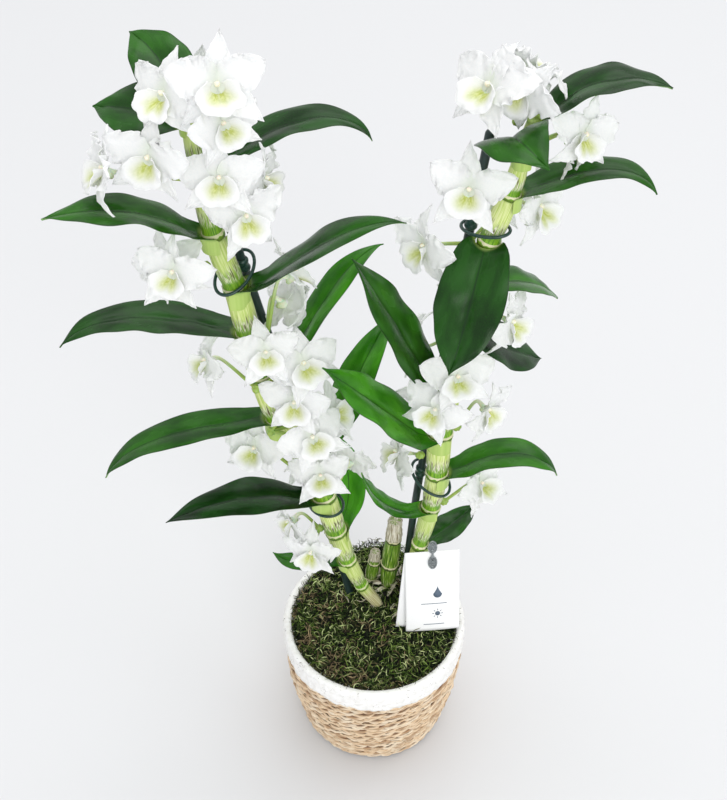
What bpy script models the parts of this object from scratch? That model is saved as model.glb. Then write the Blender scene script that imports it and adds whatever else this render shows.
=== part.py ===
"""A two-caned dendrobium orchid, staked and clipped, growing in a pot inside a woven basket.

Metres, +Z up. The origin is the centre of the basket's underside. +X is the plant's right
and -Y its front. The two canes lean apart in X. Each piece is one closed solid.
"""

import math

import bmesh
import bpy
import numpy as np
from mathutils import Vector

# ---- clearances -------------------------------------------------------------------------
GAP = 0.0003            # between pieces that rest on or in one another
HOLE_GAP = 0.0006       # around a stem or a stake in the moss and the potting bark

# ---- basket, pot and moss ---------------------------------------------------------------
BASKET_HEIGHT = 0.120
BASKET_RIM_RADIUS = 0.075
BASKET_BASE_RADIUS = 0.061
BASKET_BULGE = 0.0040   # how far the side swells beyond a straight taper
BASKET_WALL = 0.0065
BASKET_FLOOR = 0.006
BASKET_SIDES = 36

POT_CLEARANCE = 0.006   # between the pot and the basket's inner side
POT_DROP = 0.018        # pot's rim below the basket's
POT_WALL = 0.0014
POT_DRAIN_HOLES = 6
POT_DRAIN_RADIUS = 0.004
BARK_DROP = 0.003       # bark below the pot's rim

MOSS_FRONT_DROP = 0.005     # below the basket's rim at the front
MOSS_HEAP = 0.021           # how much higher it is heaped behind the canes
MOSS_HEAP_X = 0.010
MOSS_HEAP_WIDTH = 0.048
MOSS_LUMP = 0.0012

# ---- stems: x and the height above the basket's rim, at each leaf node, and the radius --
CANE_SIDES = 8
CANE_STEPS = 3          # stations between two nodes
NODE_SWELL = 0.0008
CANE_LEFT_Y = 0.009
CANE_LEFT = (
    (0.005, 0.002, 0.0040), (-0.010, 0.031, 0.0052), (-0.021, 0.063, 0.0065), (-0.030, 0.099, 0.0080),
    (-0.038, 0.139, 0.0085), (-0.051, 0.182, 0.0085), (-0.068, 0.221, 0.0085), (-0.078, 0.262, 0.0085),
    (-0.084, 0.298, 0.0080), (-0.090, 0.336, 0.0075), (-0.100, 0.376, 0.0065), (-0.105, 0.420, 0.0050),
    (-0.108, 0.458, 0.0035),
)
CANE_RIGHT_Y = 0.017
CANE_RIGHT = (
    (0.028, 0.012, 0.0055), (0.036, 0.073, 0.0060), (0.043, 0.118, 0.0070), (0.046, 0.156, 0.0080),
    (0.047, 0.198, 0.0085), (0.051, 0.245, 0.0085), (0.056, 0.290, 0.0085), (0.061, 0.328, 0.0080),
    (0.069, 0.365, 0.0070), (0.079, 0.399, 0.0060), (0.084, 0.426, 0.0045), (0.088, 0.449, 0.0035),
)
OLD_CANE_Y = 0.028
OLD_CANE = (
    (0.0115, 0.008, 0.0055), (0.0130, 0.035, 0.0068), (0.0155, 0.067, 0.0060), (0.0165, 0.090, 0.0042),
)
OLD_BULB_Y = 0.034
OLD_BULB = (
    (-0.0020, 0.010, 0.0050), (0.0000, 0.030, 0.0047), (0.0010, 0.044, 0.0024),
)

# ---- stakes: x and height above the rim; each foot stands on the pot's floor ------------
STAKE_RADIUS = 0.003
STAKE_SIDES = 8
# the left one crosses close behind its cane, the right one stands beside and behind its own
STAKE_LEFT_Y = CANE_LEFT_Y + max(row[2] for row in CANE_LEFT) + NODE_SWELL + STAKE_RADIUS + GAP
STAKE_LEFT = ((-0.0205, 0.006), (-0.0560, 0.206), (-0.0978, 0.403))
STAKE_RIGHT_BEHIND = 0.011
STAKE_RIGHT_Y = CANE_RIGHT_Y + STAKE_RIGHT_BEHIND
STAKE_RIGHT = ((0.0255, 0.011), (0.0350, 0.150), (0.0575, 0.363), (0.0653, 0.434))

# ---- stake clips: an oval loop of wire round cane and stake -----------------------------
CLIP_WIRE = 0.0011
CLIP_GAP = 0.0008
CLIP_SIDES = 6
CLIP_POINTS = 22
# name: cane, node, how far clear above (or below, if negative) the foot of that node's
# flowers the loop lies, and its tilt in degrees
CLIPS = {
    "clip_left_upper": ("left", 9, 0.0037, 24),
    "clip_left_lower": ("left", 4, -0.0057, -8),
    "clip_right_upper": ("right", 8, 0.0027, -10),
    "clip_right_lower": ("right", 3, -0.0027, 20),
}

# ---- care card --------------------------------------------------------------------------
CARD_WIDTH = 0.044
CARD_HEIGHT = 0.074
CARD_SHEET = 0.0005
CARD_FOOT = (0.048, -0.0155)    # x and y of the middle of its lower edge
CARD_LEAN = 0.0245              # how far the top stands behind the foot
CARD_FLARE = 0.005              # gap between the two leaves at their foot
CARD_SKEW = 0.008               # how far the back leaf is slid to the left at its foot
CARD_TURN = 5.0                 # degrees
CARD_LIFT = 0.004               # foot above the basket's rim, clear of the moss
CARD_CLIP_SIZE = (0.0042, 0.0075)
CARD_CLIP_WIRE = 0.0006

# ---- leaves -----------------------------------------------------------------------------
LEAF_THICKNESS = 0.0014
LEAF_STATIONS = (0.0, 0.04, 0.1, 0.2, 0.32, 0.45, 0.58, 0.7, 0.8, 0.88, 0.95)
LEAF_FOLD = 14.0        # degrees that each half rises from the midrib
LEAF_STALK = 0.2        # width at the stalk, as a share of the leaf's
LEAF_STANDOFF = 0.0008  # between the stem and the stalk of a level leaf
LEAF_STANDOFF_STEEP = 0.0022    # added for one that stands straight up or hangs straight down
# name: cane, node, then in degrees the azimuth, the rise at the stalk, how far it droops and
# turns by the tip, how late the droop sets in (1 is evenly, 4 is near the tip), the roll
# about the midrib in degrees, and the length and width in metres
LEAVES = {
    "leaf_left_1": ("left", 12, 116, 44, 41, 20, 1, 20, 0.062, 0.036),
    "leaf_left_2": ("left", 11.8, 158, 12, 24, 4, 1, 20, 0.056, 0.040),
    "leaf_left_3": ("left", 11, 31, 22, 90, -44, 4, 0, 0.108, 0.032),
    "leaf_left_4": ("left", 10, 204, 52, 70, -20, 1, 0, 0.098, 0.036),
    "leaf_left_5": ("left", 9, 344, 42, 54, 15, 4, 0, 0.118, 0.036),
    "leaf_left_6": ("left", 8, 170, 13, 55, 42, 4, 0, 0.118, 0.034),
    "leaf_left_7": ("left", 7, 7, 60, 79, 36, 4, 0, 0.122, 0.028),
    "leaf_left_8": ("left", 5, 15, 65, 81, 51, 4, 0, 0.122, 0.034),
    "leaf_left_9": ("left", 6, 181, -7, 60, 19, 4, 0, 0.128, 0.032),
    "leaf_left_10": ("left", 4, 206, 44, 74, -17, 1, 0, 0.117, 0.036),
    "leaf_left_11": ("left", 3, 66, 20, -40, 60, 1, 0, 0.072, 0.028),
    "leaf_left_12": ("left", 2, 174, -20, -54, -20, 4, 0, 0.058, 0.021),
    "leaf_right_1": ("right", 11, 8, 56, 76, -25, 1, 2, 0.077, 0.038),
    "leaf_right_2": ("right", 10, 230, 78, 108, 90, 1, -20, 0.074, 0.044),
    "leaf_right_3": ("right", 9, 16, 20, 84, -49, 4, 0, 0.087, 0.032),
    "leaf_right_4": ("right", 8, 249, -45, -31, 0, 4, 0, 0.081, 0.045),
    "leaf_right_5": ("right", 5, 190, 66, 4, 11, 2, 38, 0.133, 0.038),
    "leaf_right_6": ("right", 4, 214, 52, 4, -15, 4, 34, 0.129, 0.038),
    "leaf_right_7": ("right", 7, 28, -2, 51, -3, 1, 0, 0.071, 0.034),
    "leaf_right_8": ("right", 6, 16, -42, -8, 20, 1, -30, 0.072, 0.036),
    "leaf_right_9": ("right", 3, 3, 37, 107, -15, 2, 0, 0.092, 0.032),
    "leaf_right_10": ("right", 1, 30, 12, -19, 12, 4, 0, 0.050, 0.026),
    "leaf_right_11": ("right", 2, 207, 20, -59, -35, 1, 0, 0.075, 0.022),
}

# ---- flowers ----------------------------------------------------------------------------
KNOB_RADIUS = 0.0042        # the swollen foot that the flower stalks of a cluster grow from
KNOB_GAP = 0.0004           # between that foot and the stem
PEDICEL_RADIUS = 0.0013
PEDICEL_REACH = 0.4         # how far it runs straight back from the flower, in flower radii
FLOWER_FRONT = 0.05         # crown of the disc before and behind its rim, in flower radii
FLOWER_BACK = 0.12
THROAT_RADIUS = 0.18        # the lip, a flaring cup: its foot, mouth, reach, sag and depth
LIP_RADIUS = 0.34
LIP_REACH = 0.44
LIP_SAG = 0.16
LIP_FOOT = 0.01
LIP_SIDES = 7
# right half of the outline seen from the front, from the bottom up: angle in degrees, reach
# and lift in flower radii: two lower sepals, two broad petals and a top sepal in all
FLOWER_HALF_OUTLINE = (
    (-90, 0.34, 0.10), (-58, 0.96, -0.06), (-42, 0.98, -0.06), (-18, 0.42, 0.10),
    (8, 0.98, 0.0), (36, 0.96, 0.0), (58, 0.42, 0.10), (80, 1.00, -0.06),
)
# cluster: cane, node, azimuth of its foot on the stem, and for each flower the place of its
# centre from the node in millimetres (x, y, z), the azimuth and elevation that it faces and
# its roll in degrees, and its span in millimetres
CLUSTERS = {
    "flowers_left_1": ("left", 12, -10, (
        (22, -23, 27, -75, 30, 0, 54), (-8, -15, 18, -120, 25, 0, 50),
        (23, -24, 6, -55, 15, 10, 46), (2, 38, -4, 85, 0, 5, 48),
    )),
    "flowers_left_2": ("left", 11, -75, (
        (-23, -17, 19, -110, 10, 0, 52), (-50, -12, 8, -160, 20, 0, 50),
        (16, -26, 11, -90, 25, 0, 50), (37, 0, -5, -10, 0, 10, 48),
    )),
    "flowers_left_3": ("left", 10, -20, (
        (23, -21, 27, -70, 15, 0, 50), (13, 27, 12, 80, 15, 0, 48),
    )),
    "flowers_left_4": ("left", 9.5, -160, (
        (-26, -30.5, 13.5, -110, 25, 0, 48), (-33, -6, -1, -125, 15, 35, 52),
    )),
    "flowers_left_5": ("left", 8, -25, (
        (29, 10, 40, 25, 15, -20, 50), (23, 9, 19, 25, -35, -35, 50), (13, -26, 5, -80, 35, 0, 46),
    )),
    "flowers_left_6": ("left", 7, -100, (
        (-37, 10, 4, -155, 12, 0, 48), (30, -16, 23, -70, 35, 10, 52),
    )),
    "flowers_left_7": ("left", 6, -110, (
        (13, -21, 35, -90, 20, 0, 48), (37, -8, 11, -25, 30, 45, 46), (25, -29, 9, -80, 40, 20, 50),
    )),
    "flowers_left_8": ("left", 5, -120, (
        (-35, -6, 15, -115, 25, 0, 50), (12, -28, 9, -85, 40, 5, 46),
    )),
    "flowers_left_9": ("left", 4, 50, (
        (-13, 33, 0, 115, 5, 5, 48), (19, 26, 11, 65, 5, 0, 46),
    )),
    "flowers_left_10": ("left", 3, 165, (
        (-35, 8, 4, -150, -15, 0, 50), (-19, -14, -7, -105, 5, 0, 46),
    )),
    "flowers_right_1": ("right", 11, -170, (
        (-28, -12, 26, -135, 30, 0, 54), (-2, 15, 22, 45, 45, 30, 50), (-10, -14, 26, -115, -5, -40, 46),
    )),
    "flowers_right_2": ("right", 10, 65, (
        (32, -6, 17, -60, 5, -15, 46), (31, 13, 2, -20, -20, 0, 46),
    )),
    "flowers_right_3": ("right", 9, 130, (
        (-27, -24, 18, -105, 25, 0, 52), (21, 18, -20, -45, 10, 0, 50),
    )),
    "flowers_right_4": ("right", 8, 185, (
        (-38, 8, -9, -150, 8, 0, 52), (6, 33, 6, 85, 5, 0, 48),
    )),
    "flowers_right_5": ("right", 6, 60, (
        (31, -4, 15, -40, 5, 10, 50), (8, 33, 6, 80, 5, 0, 46), (-27, 31, -32, 165, 5, 10, 48),
    )),
    "flowers_right_6": ("right", 5, -110, (
        (2, -28, 32, -85, 35, 0, 50), (-12, -32, 7, -105, 25, -20, 48),
    )),
    "flowers_right_7": ("right", 4, 30, (
        (31, 2, 23, -45, 0, 0, 50), (-8, 28, 10, 100, 15, 0, 48),
    )),
    "flowers_right_8": ("right", 3.5, 185, (
        (-28, 13, -12, -175, 10, 0, 54),
    )),
    "flowers_right_9": ("right", 2, 30, (
        (37, 6, 20, -40, 30, 0, 50),
    )),
}

# ---- colours: base colour, roughness, metallic ------------------------------------------
MATERIALS = {
    "seagrass": ((0.62, 0.42, 0.24), 0.85, 0.0),
    "pot_plastic": ((0.10, 0.10, 0.10), 0.45, 0.0),
    "bark": ((0.12, 0.065, 0.035), 0.9, 0.0),
    "moss": ((0.07, 0.12, 0.03), 0.95, 0.0),
    "cane": ((0.36, 0.50, 0.12), 0.45, 0.0),
    "old_cane": ((0.42, 0.40, 0.22), 0.7, 0.0),
    "stake": ((0.012, 0.020, 0.020), 0.4, 0.0),
    "clip": ((0.01, 0.07, 0.07), 0.35, 0.0),
    "leaf": ((0.035, 0.13, 0.03), 0.35, 0.0),
    "petal": ((0.86, 0.87, 0.84), 0.5, 0.0),
    "card": ((0.82, 0.82, 0.80), 0.6, 0.0),
    "card_clip": ((0.35, 0.36, 0.36), 0.4, 0.0),
}


# ---- design rules -----------------------------------------------------------------------
def basket_outer(z):
    """Radius of the basket's outer side at a height."""
    share = z / BASKET_HEIGHT
    taper = BASKET_BASE_RADIUS + (BASKET_RIM_RADIUS - BASKET_BASE_RADIUS) * share
    return taper + BASKET_BULGE * math.sin(math.pi * share)


def pot_outer(z):
    """Radius of the pot: a straight taper that clears the basket at its foot and its rim."""
    foot = basket_outer(POT_FOOT) - BASKET_WALL - POT_CLEARANCE
    rim = basket_outer(POT_RIM) - BASKET_WALL - POT_CLEARANCE
    return foot + (rim - foot) * (z - POT_FOOT) / (POT_RIM - POT_FOOT)


def moss_height(x, y):
    """Height of the moss: low at the front, heaped behind the canes, lumpy all over."""
    back = min(1.0, max(0.0, 0.5 + 0.5 * y / MOSS_RADIUS))
    slope = back * back * (3 - 2 * back)
    heap = MOSS_HEAP * slope * math.exp(-((x - MOSS_HEAP_X) / MOSS_HEAP_WIDTH) ** 2)
    lumps = MOSS_LUMP * math.sin(260 * x + 1.0) * math.sin(230 * y + 0.5)
    return BASKET_HEIGHT - MOSS_FRONT_DROP + heap + lumps


POT_FOOT = BASKET_FLOOR + GAP
POT_RIM = BASKET_HEIGHT - POT_DROP
POT_INSIDE = POT_FOOT + POT_WALL
BARK_TOP = POT_RIM - BARK_DROP
MOSS_FOOT = POT_RIM + GAP
MOSS_RADIUS = basket_outer(MOSS_FOOT) - BASKET_WALL - GAP
STEM_FOOT = BARK_TOP + GAP
STAKE_FOOT = POT_INSIDE + GAP


def direction(azimuth, elevation):
    a, e = math.radians(azimuth), math.radians(elevation)
    return np.array([math.cos(e) * math.cos(a), math.cos(e) * math.sin(a), math.sin(e)])


def unit(vector):
    return vector / np.linalg.norm(vector)


def turned_pair(first, second, degrees):
    """Two perpendicular vectors, turned together in their own plane."""
    c, s = math.cos(math.radians(degrees)), math.sin(math.radians(degrees))
    return c * first + s * second, c * second - s * first


def smooth_path(points, steps):
    """Catmull-Rom through the points (rows of numbers), with steps stations to each span."""
    rows = [np.array(point, float) for point in points]
    rows = [2 * rows[0] - rows[1]] + rows + [2 * rows[-1] - rows[-2]]
    path = []
    for a, b, c, d in zip(rows, rows[1:], rows[2:], rows[3:]):
        for i in range(steps):
            t = i / steps
            cubic = (3 * b - a - 3 * c + d) * t ** 3
            path.append(0.5 * (2 * b + (c - a) * t + (2 * a - 5 * b + 4 * c - d) * t * t + cubic))
    path.append(rows[-2])
    return np.array(path)


def tube_rings(path, radii, sides, side=(0.0, 1.0, 0.0)):
    """Rings of points round a path, twisting as little as possible from one to the next."""
    side = np.array(side, float)
    rings = []
    for centre, tangent, radius in zip(path, np.gradient(path, axis=0), radii):
        tangent = unit(tangent)
        side = unit(side - tangent * np.dot(side, tangent))
        across = np.cross(tangent, side)
        angles = [2 * math.pi * k / sides for k in range(sides)]
        rings.append([centre + radius * (math.cos(a) * side + math.sin(a) * across) for a in angles])
    return rings


def stem_points(y, rows):
    """A stem's nodes as rows of x, y, z and radius, from the bark up."""
    x, rise, radius = rows[0]
    foot = (x, y, STEM_FOOT + radius / 2, radius)
    return [foot] + [(x, y, BASKET_HEIGHT + rise, radius) for x, rise, radius in rows]


CANES = {
    "left": stem_points(CANE_LEFT_Y, CANE_LEFT),
    "right": stem_points(CANE_RIGHT_Y, CANE_RIGHT),
}


def node_of(cane, place):
    """Middle of a cane at a node, or part of the way to the next, and its radius there."""
    whole = int(place)
    low = np.array(CANES[cane][whole + 1])
    high = np.array(CANES[cane][min(whole + 2, len(CANES[cane]) - 1)])
    row = low + (high - low) * (place - whole)
    return row[:3], row[3] + NODE_SWELL


# ---- meshes -----------------------------------------------------------------------------
def material(name):
    found = bpy.data.materials.get(name)
    if found:
        return found
    colour, roughness, metallic = MATERIALS[name]
    made = bpy.data.materials.new(name)
    made.use_nodes = True
    shader = made.node_tree.nodes["Principled BSDF"]
    shader.inputs["Base Color"].default_value = (*colour, 1.0)
    shader.inputs["Roughness"].default_value = roughness
    shader.inputs["Metallic"].default_value = metallic
    made.diffuse_color = (*colour, 1.0)
    return made


def add_object(name, mesh_data, slot):
    """One object from a bmesh, smooth but for its real edges."""
    bmesh.ops.recalc_face_normals(mesh_data, faces=mesh_data.faces)
    mesh = bpy.data.meshes.new(name)
    mesh_data.to_mesh(mesh)
    mesh_data.free()
    mesh.shade_smooth()
    mesh.set_sharp_from_angle(angle=math.radians(40))
    mesh.materials.append(material(slot))
    made = bpy.data.objects.new(name, mesh)
    bpy.context.collection.objects.link(made)
    return made


def add_loft(data, rings, start=None, end=None, closed=False):
    """Rings of points joined into one closed skin. The ends are capped to a point, which is
    the end ring's middle unless it is given; a closed loft joins its last ring to its first."""
    made = [[data.verts.new(point) for point in ring] for ring in rings]
    pairs = list(zip(made, made[1:]))
    if closed:
        pairs.append((made[-1], made[0]))
    for low, high in pairs:
        for k in range(len(low)):
            j = (k + 1) % len(low)
            data.faces.new((low[k], low[j], high[j], high[k]))
    if closed:
        return
    for ring, points, apex in ((made[0], rings[0], start), (made[-1], rings[-1], end)):
        tip = data.verts.new(np.mean(points, axis=0) if apex is None else apex)
        for k in range(len(ring)):
            data.faces.new((ring[k], ring[(k + 1) % len(ring)], tip))


def add_tube(name, points, radii, sides, slot):
    data = bmesh.new()
    add_loft(data, tube_rings(points, radii, sides))
    return add_object(name, data, slot)


def add_turned(name, profile, sides, slot):
    """A solid of revolution: the profile runs from the axis, round the outside, to the axis."""
    rings = []
    for radius, z in profile[1:-1]:
        angles = [2 * math.pi * k / sides for k in range(sides)]
        rings.append([(radius * math.cos(a), radius * math.sin(a), z) for a in angles])
    data = bmesh.new()
    add_loft(data, rings, (0, 0, profile[0][1]), (0, 0, profile[-1][1]))
    return add_object(name, data, slot)


def hide(helper):
    helper.hide_render = True
    helper.display_type = "WIRE"
    return helper


def combine(target, helper, operation):
    boolean = target.modifiers.new(operation.lower(), "BOOLEAN")
    boolean.operation = operation
    boolean.solver = "EXACT"
    boolean.object = hide(helper)


# ---- basket, pot, bark and moss ---------------------------------------------------------
def make_basket():
    """An open woven bowl: flat underside, bulging side and a rolled rim."""
    outer = [(basket_outer(BASKET_HEIGHT * share), BASKET_HEIGHT * share)
             for share in (0.04, 0.22, 0.42, 0.62, 0.80, 0.96)]
    inner = [(radius - BASKET_WALL, z) for radius, z in outer[::-1]]
    edge = BASKET_WALL / 4
    foot = basket_outer(0)
    profile = [(0, 0), (foot - edge, 0), *outer, (BASKET_RIM_RADIUS - edge, BASKET_HEIGHT),
               (BASKET_RIM_RADIUS - BASKET_WALL + edge, BASKET_HEIGHT), *inner[:-1],
               (basket_outer(BASKET_FLOOR) - BASKET_WALL, BASKET_FLOOR), (0, BASKET_FLOOR)]
    add_turned("basket", profile, BASKET_SIDES, "seagrass")


def make_pot():
    """The plastic pot that the orchid grows in, with drain holes in its floor."""
    profile = [(0, POT_FOOT), (pot_outer(POT_FOOT), POT_FOOT), (pot_outer(POT_RIM), POT_RIM),
               (pot_outer(POT_RIM) - POT_WALL, POT_RIM), (pot_outer(POT_INSIDE) - POT_WALL, POT_INSIDE),
               (0, POT_INSIDE)]
    pot = add_turned("grow_pot", profile, 32, "pot_plastic")
    holes = bmesh.new()
    for k in range(POT_DRAIN_HOLES):
        angle = 2 * math.pi * k / POT_DRAIN_HOLES
        centre = 0.6 * pot_outer(POT_FOOT) * direction(math.degrees(angle), 0)
        path = np.array([centre + (0, 0, POT_FOOT - POT_WALL), centre + (0, 0, POT_INSIDE + POT_WALL)])
        add_loft(holes, tube_rings(path, [POT_DRAIN_RADIUS] * 2, 8))
    combine(pot, add_object("drain_holes", holes, "pot_plastic"), "DIFFERENCE")


def stake_points(y, rows):
    """A stake's path, run on down along its first stretch to the pot's floor."""
    (x0, low), (x1, high) = rows[0], rows[1]
    slope = (x1 - x0) / (high - low)
    foot = STAKE_FOOT + STAKE_RADIUS * abs(slope)
    points = [(x0 + slope * (foot - BASKET_HEIGHT - low), y, foot)]
    return points + [(x, y, BASKET_HEIGHT + rise) for x, rise in rows]


STAKES = {
    "left": stake_points(STAKE_LEFT_Y, STAKE_LEFT),
    "right": stake_points(STAKE_RIGHT_Y, STAKE_RIGHT),
}


def add_stake(name, points, radius):
    path = smooth_path(points, 3)
    return add_tube(name, path, [radius] * len(path), STAKE_SIDES, "stake")


def add_stem(name, points, extra, slot):
    """A stem that swells a little at each node. A cutter for its hole is wider by extra."""
    path = smooth_path(points, CANE_STEPS)
    swells = [0 if i % CANE_STEPS else NODE_SWELL for i in range(len(path))]
    radii = [radius + swell + extra for radius, swell in zip(path[:, 3], swells)]
    return add_tube(name, path[:, :3], radii, CANE_SIDES, slot)


STEMS = {
    "cane_left": (CANES["left"], "cane"),
    "cane_right": (CANES["right"], "cane"),
    "old_cane": (stem_points(OLD_CANE_Y, OLD_CANE), "old_cane"),
    "old_bulb": (stem_points(OLD_BULB_Y, OLD_BULB), "old_cane"),
}


def make_bark():
    """The potting bark and roots, a plug that fills the pot, pierced by the stakes."""
    low = POT_INSIDE + GAP
    fit = POT_WALL + GAP
    profile = [(0, low), (pot_outer(low) - fit, low), (pot_outer(BARK_TOP) - fit, BARK_TOP), (0, BARK_TOP)]
    bark = add_turned("bark", profile, 32, "bark")
    for side, points in STAKES.items():
        combine(bark, add_stake("bark_hole_" + side, points, STAKE_RADIUS + HOLE_GAP), "DIFFERENCE")


def make_moss():
    """The layer of moss over the pot, heaped at the back, with the stems coming through it."""
    rings = [[(MOSS_RADIUS * math.cos(a), MOSS_RADIUS * math.sin(a), MOSS_FOOT)
              for a in (2 * math.pi * k / BASKET_SIDES for k in range(BASKET_SIDES))]]
    for share in (1.0, 0.92, 0.72, 0.48, 0.22):
        ring = []
        for k in range(BASKET_SIDES):
            angle = 2 * math.pi * k / BASKET_SIDES
            x, y = share * MOSS_RADIUS * math.cos(angle), share * MOSS_RADIUS * math.sin(angle)
            rounding = 0.004 if share == 1.0 else 0
            ring.append((x, y, moss_height(x, y) - rounding))
        rings.append(ring)
    data = bmesh.new()
    add_loft(data, rings, (0, 0, MOSS_FOOT), (0, 0, moss_height(0, 0)))
    moss = add_object("moss", data, "moss")
    for name, (points, slot) in STEMS.items():
        below = [(points[0][0], points[0][1], MOSS_FOOT - 0.012, points[0][3])]
        reach = [point for point in points if point[2] < BASKET_HEIGHT + 0.07]
        combine(moss, add_stem("moss_hole_" + name, below + reach, HOLE_GAP, slot), "DIFFERENCE")
    for side, points in STAKES.items():
        combine(moss, add_stake("moss_hole_stake_" + side, points, STAKE_RADIUS + HOLE_GAP), "DIFFERENCE")


# ---- stems, stakes and clips ------------------------------------------------------------
def make_stems():
    for name, (points, slot) in STEMS.items():
        add_stem(name, points, 0, slot)
    for side, points in STAKES.items():
        add_stake("stake_" + side, points, STAKE_RADIUS)


def at_height(path, z):
    """The point of a rising path at a height, with every column of its rows."""
    for low, high in zip(path, path[1:]):
        if low[2] <= z <= high[2]:
            return low + (high - low) * (z - low[2]) / (high[2] - low[2])
    return path[-1]


def make_clip(name, side, node, clear, tilt):
    """An oval loop of wire lying round cane and stake, tilted across the stem."""
    z = node_of(side, node)[0][2] + clear + math.copysign(KNOB_RADIUS + CLIP_WIRE, clear)
    cane = at_height(smooth_path(CANES[side], CANE_STEPS), z)
    stake = at_height(smooth_path(STAKES[side], CANE_STEPS), z)
    across = stake[:3] - cane[:3]
    span = np.linalg.norm(across)
    across = unit(across)
    near = cane[3] + NODE_SWELL + CLIP_GAP + CLIP_WIRE
    far = STAKE_RADIUS + CLIP_GAP + CLIP_WIRE
    middle = cane[:3] + across * (span + far - near) / 2
    half_length = (span + near + far) / 2 * 1.08
    half_width = near * 1.12
    along, up = turned_pair(across, np.array([0.0, 0.0, 1.0]), tilt)
    half_length /= math.cos(math.radians(tilt))
    beside = np.cross(up, along)
    rings = []
    for k in range(CLIP_POINTS):
        angle = 2 * math.pi * k / CLIP_POINTS
        centre = middle + half_length * math.cos(angle) * along + half_width * math.sin(angle) * beside
        outward = unit(math.cos(angle) * along / half_length + math.sin(angle) * beside / half_width)
        turns = [2 * math.pi * j / CLIP_SIDES for j in range(CLIP_SIDES)]
        rings.append([centre + CLIP_WIRE * (math.cos(t) * outward + math.sin(t) * up) for t in turns])
    data = bmesh.new()
    add_loft(data, rings, closed=True)
    add_object(name, data, "clip")


# ---- care card --------------------------------------------------------------------------
def card_frame():
    """Foot of the card's front leaf, and its directions across, up and forwards."""
    turn = math.radians(CARD_TURN)
    across = np.array([math.cos(turn), math.sin(turn), 0.0])
    lean = math.asin(CARD_LEAN / CARD_HEIGHT)
    back = np.array([-math.sin(turn), math.cos(turn), 0.0])
    up = math.sin(lean) * back + np.array([0.0, 0.0, math.cos(lean)])
    foot = np.array([*CARD_FOOT, BASKET_HEIGHT + CARD_LIFT])
    return foot, across, up, np.cross(across, up)


def make_card():
    """A folded card: front and back leaves that meet in a crease at the top."""
    foot, across, up, forward = card_frame()
    behind = np.cross((0.0, 0.0, 1.0), across)
    half = CARD_WIDTH / 2
    top = CARD_HEIGHT * up
    sheet = CARD_SHEET * forward
    rings = []
    for side in (-half, half):
        front = foot + side * across
        back = front + CARD_FLARE * behind - CARD_SKEW * across
        inside = front + top - 2 * CARD_SHEET * up - sheet
        crease = front + top
        rings.append([front, crease, crease - 2 * sheet, back - sheet, back, inside, front - sheet])
    # the section is an upturned V: front foot, crease, back foot, then back up the inside
    data = bmesh.new()
    corners = [[data.verts.new(point) for point in ring] for ring in rings]
    for k in range(7):
        j = (k + 1) % 7
        data.faces.new((corners[0][k], corners[0][j], corners[1][j], corners[1][k]))
    for ring in corners:
        data.faces.new((ring[0], ring[1], ring[5], ring[6]))
        data.faces.new((ring[1], ring[2], ring[5]))
        data.faces.new((ring[2], ring[3], ring[4], ring[5]))
    add_object("care_card", data, "card")


def make_card_clip():
    """A flat wire clip over the crease: an oval eye in front and another standing above it."""
    foot, across, up, forward = card_frame()
    width, height = CARD_CLIP_SIZE
    wire = CARD_CLIP_WIRE
    centre = foot + (CARD_HEIGHT - 0.010) * up + (wire + GAP) * forward
    eye_top = foot + (CARD_HEIGHT + height) * up + (wire + GAP) * forward
    path = [centre - height * 0.5 * up, centre + width * 0.5 * across, centre + height * up,
            eye_top + width * 0.4 * across - height * 0.4 * up, eye_top,
            eye_top - width * 0.4 * across - height * 0.4 * up, centre + height * up - 3 * wire * across,
            centre - width * 0.5 * across]
    loop = smooth_path(path + path[:3], 3)[3:-6]
    rings = tube_rings(loop, [wire] * len(loop), 6, forward)
    data = bmesh.new()
    add_loft(data, rings[:-1])
    add_object("card_clip", data, "card_clip")


# ---- leaves -----------------------------------------------------------------------------
def leaf_half_width(share):
    """Half the width at a share of the length, for a leaf of width 1: a blunt-based blade
    with a drawn-out tip, on a narrow stalk."""
    blade = math.sqrt(max(0.0, math.sin(math.pi * share ** 0.75))) * (1 - share ** 8)
    return 0.5 * max(blade, LEAF_STALK * (1 - share))


def make_leaf(name, cane, node, azimuth, rise, droop, turn, late, roll, length, width):
    """A blade folded along its midrib, swept along an arching spine."""
    centre, radius = node_of(cane, node)
    standoff = LEAF_STANDOFF + LEAF_STANDOFF_STEEP * abs(math.sin(math.radians(rise)))
    spine = [centre + (radius + standoff) * direction(azimuth, 0)]
    steps = 48
    for i in range(steps):
        share = (i + 0.5) / steps
        heading = direction(azimuth + turn * share, rise - droop * share ** late)
        spine.append(spine[-1] + heading * length / steps)
    cos_fold, sin_fold = math.cos(math.radians(LEAF_FOLD)), math.sin(math.radians(LEAF_FOLD))
    rings = []
    for share in LEAF_STATIONS:
        whole = int(share * steps)
        point = spine[whole] + (spine[whole + 1] - spine[whole]) * (share * steps - whole)
        bearing = math.radians(azimuth + turn * share)
        along = direction(azimuth + turn * share, rise - droop * share ** late)
        level = np.array([math.sin(bearing), -math.cos(bearing), 0.0])
        across, up = turned_pair(level, np.cross(level, along), roll)
        half = width * leaf_half_width(share)
        thickness = LEAF_THICKNESS * (1 - 0.6 * share)
        lift = half * sin_fold * up
        rings.append([point + half * cos_fold * across + lift, point + 0.3 * thickness * up,
                      point - half * cos_fold * across + lift, point - 0.7 * thickness * up])
    data = bmesh.new()
    add_loft(data, rings, end=spine[-1])
    add_object(name, data, "leaf")


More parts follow.
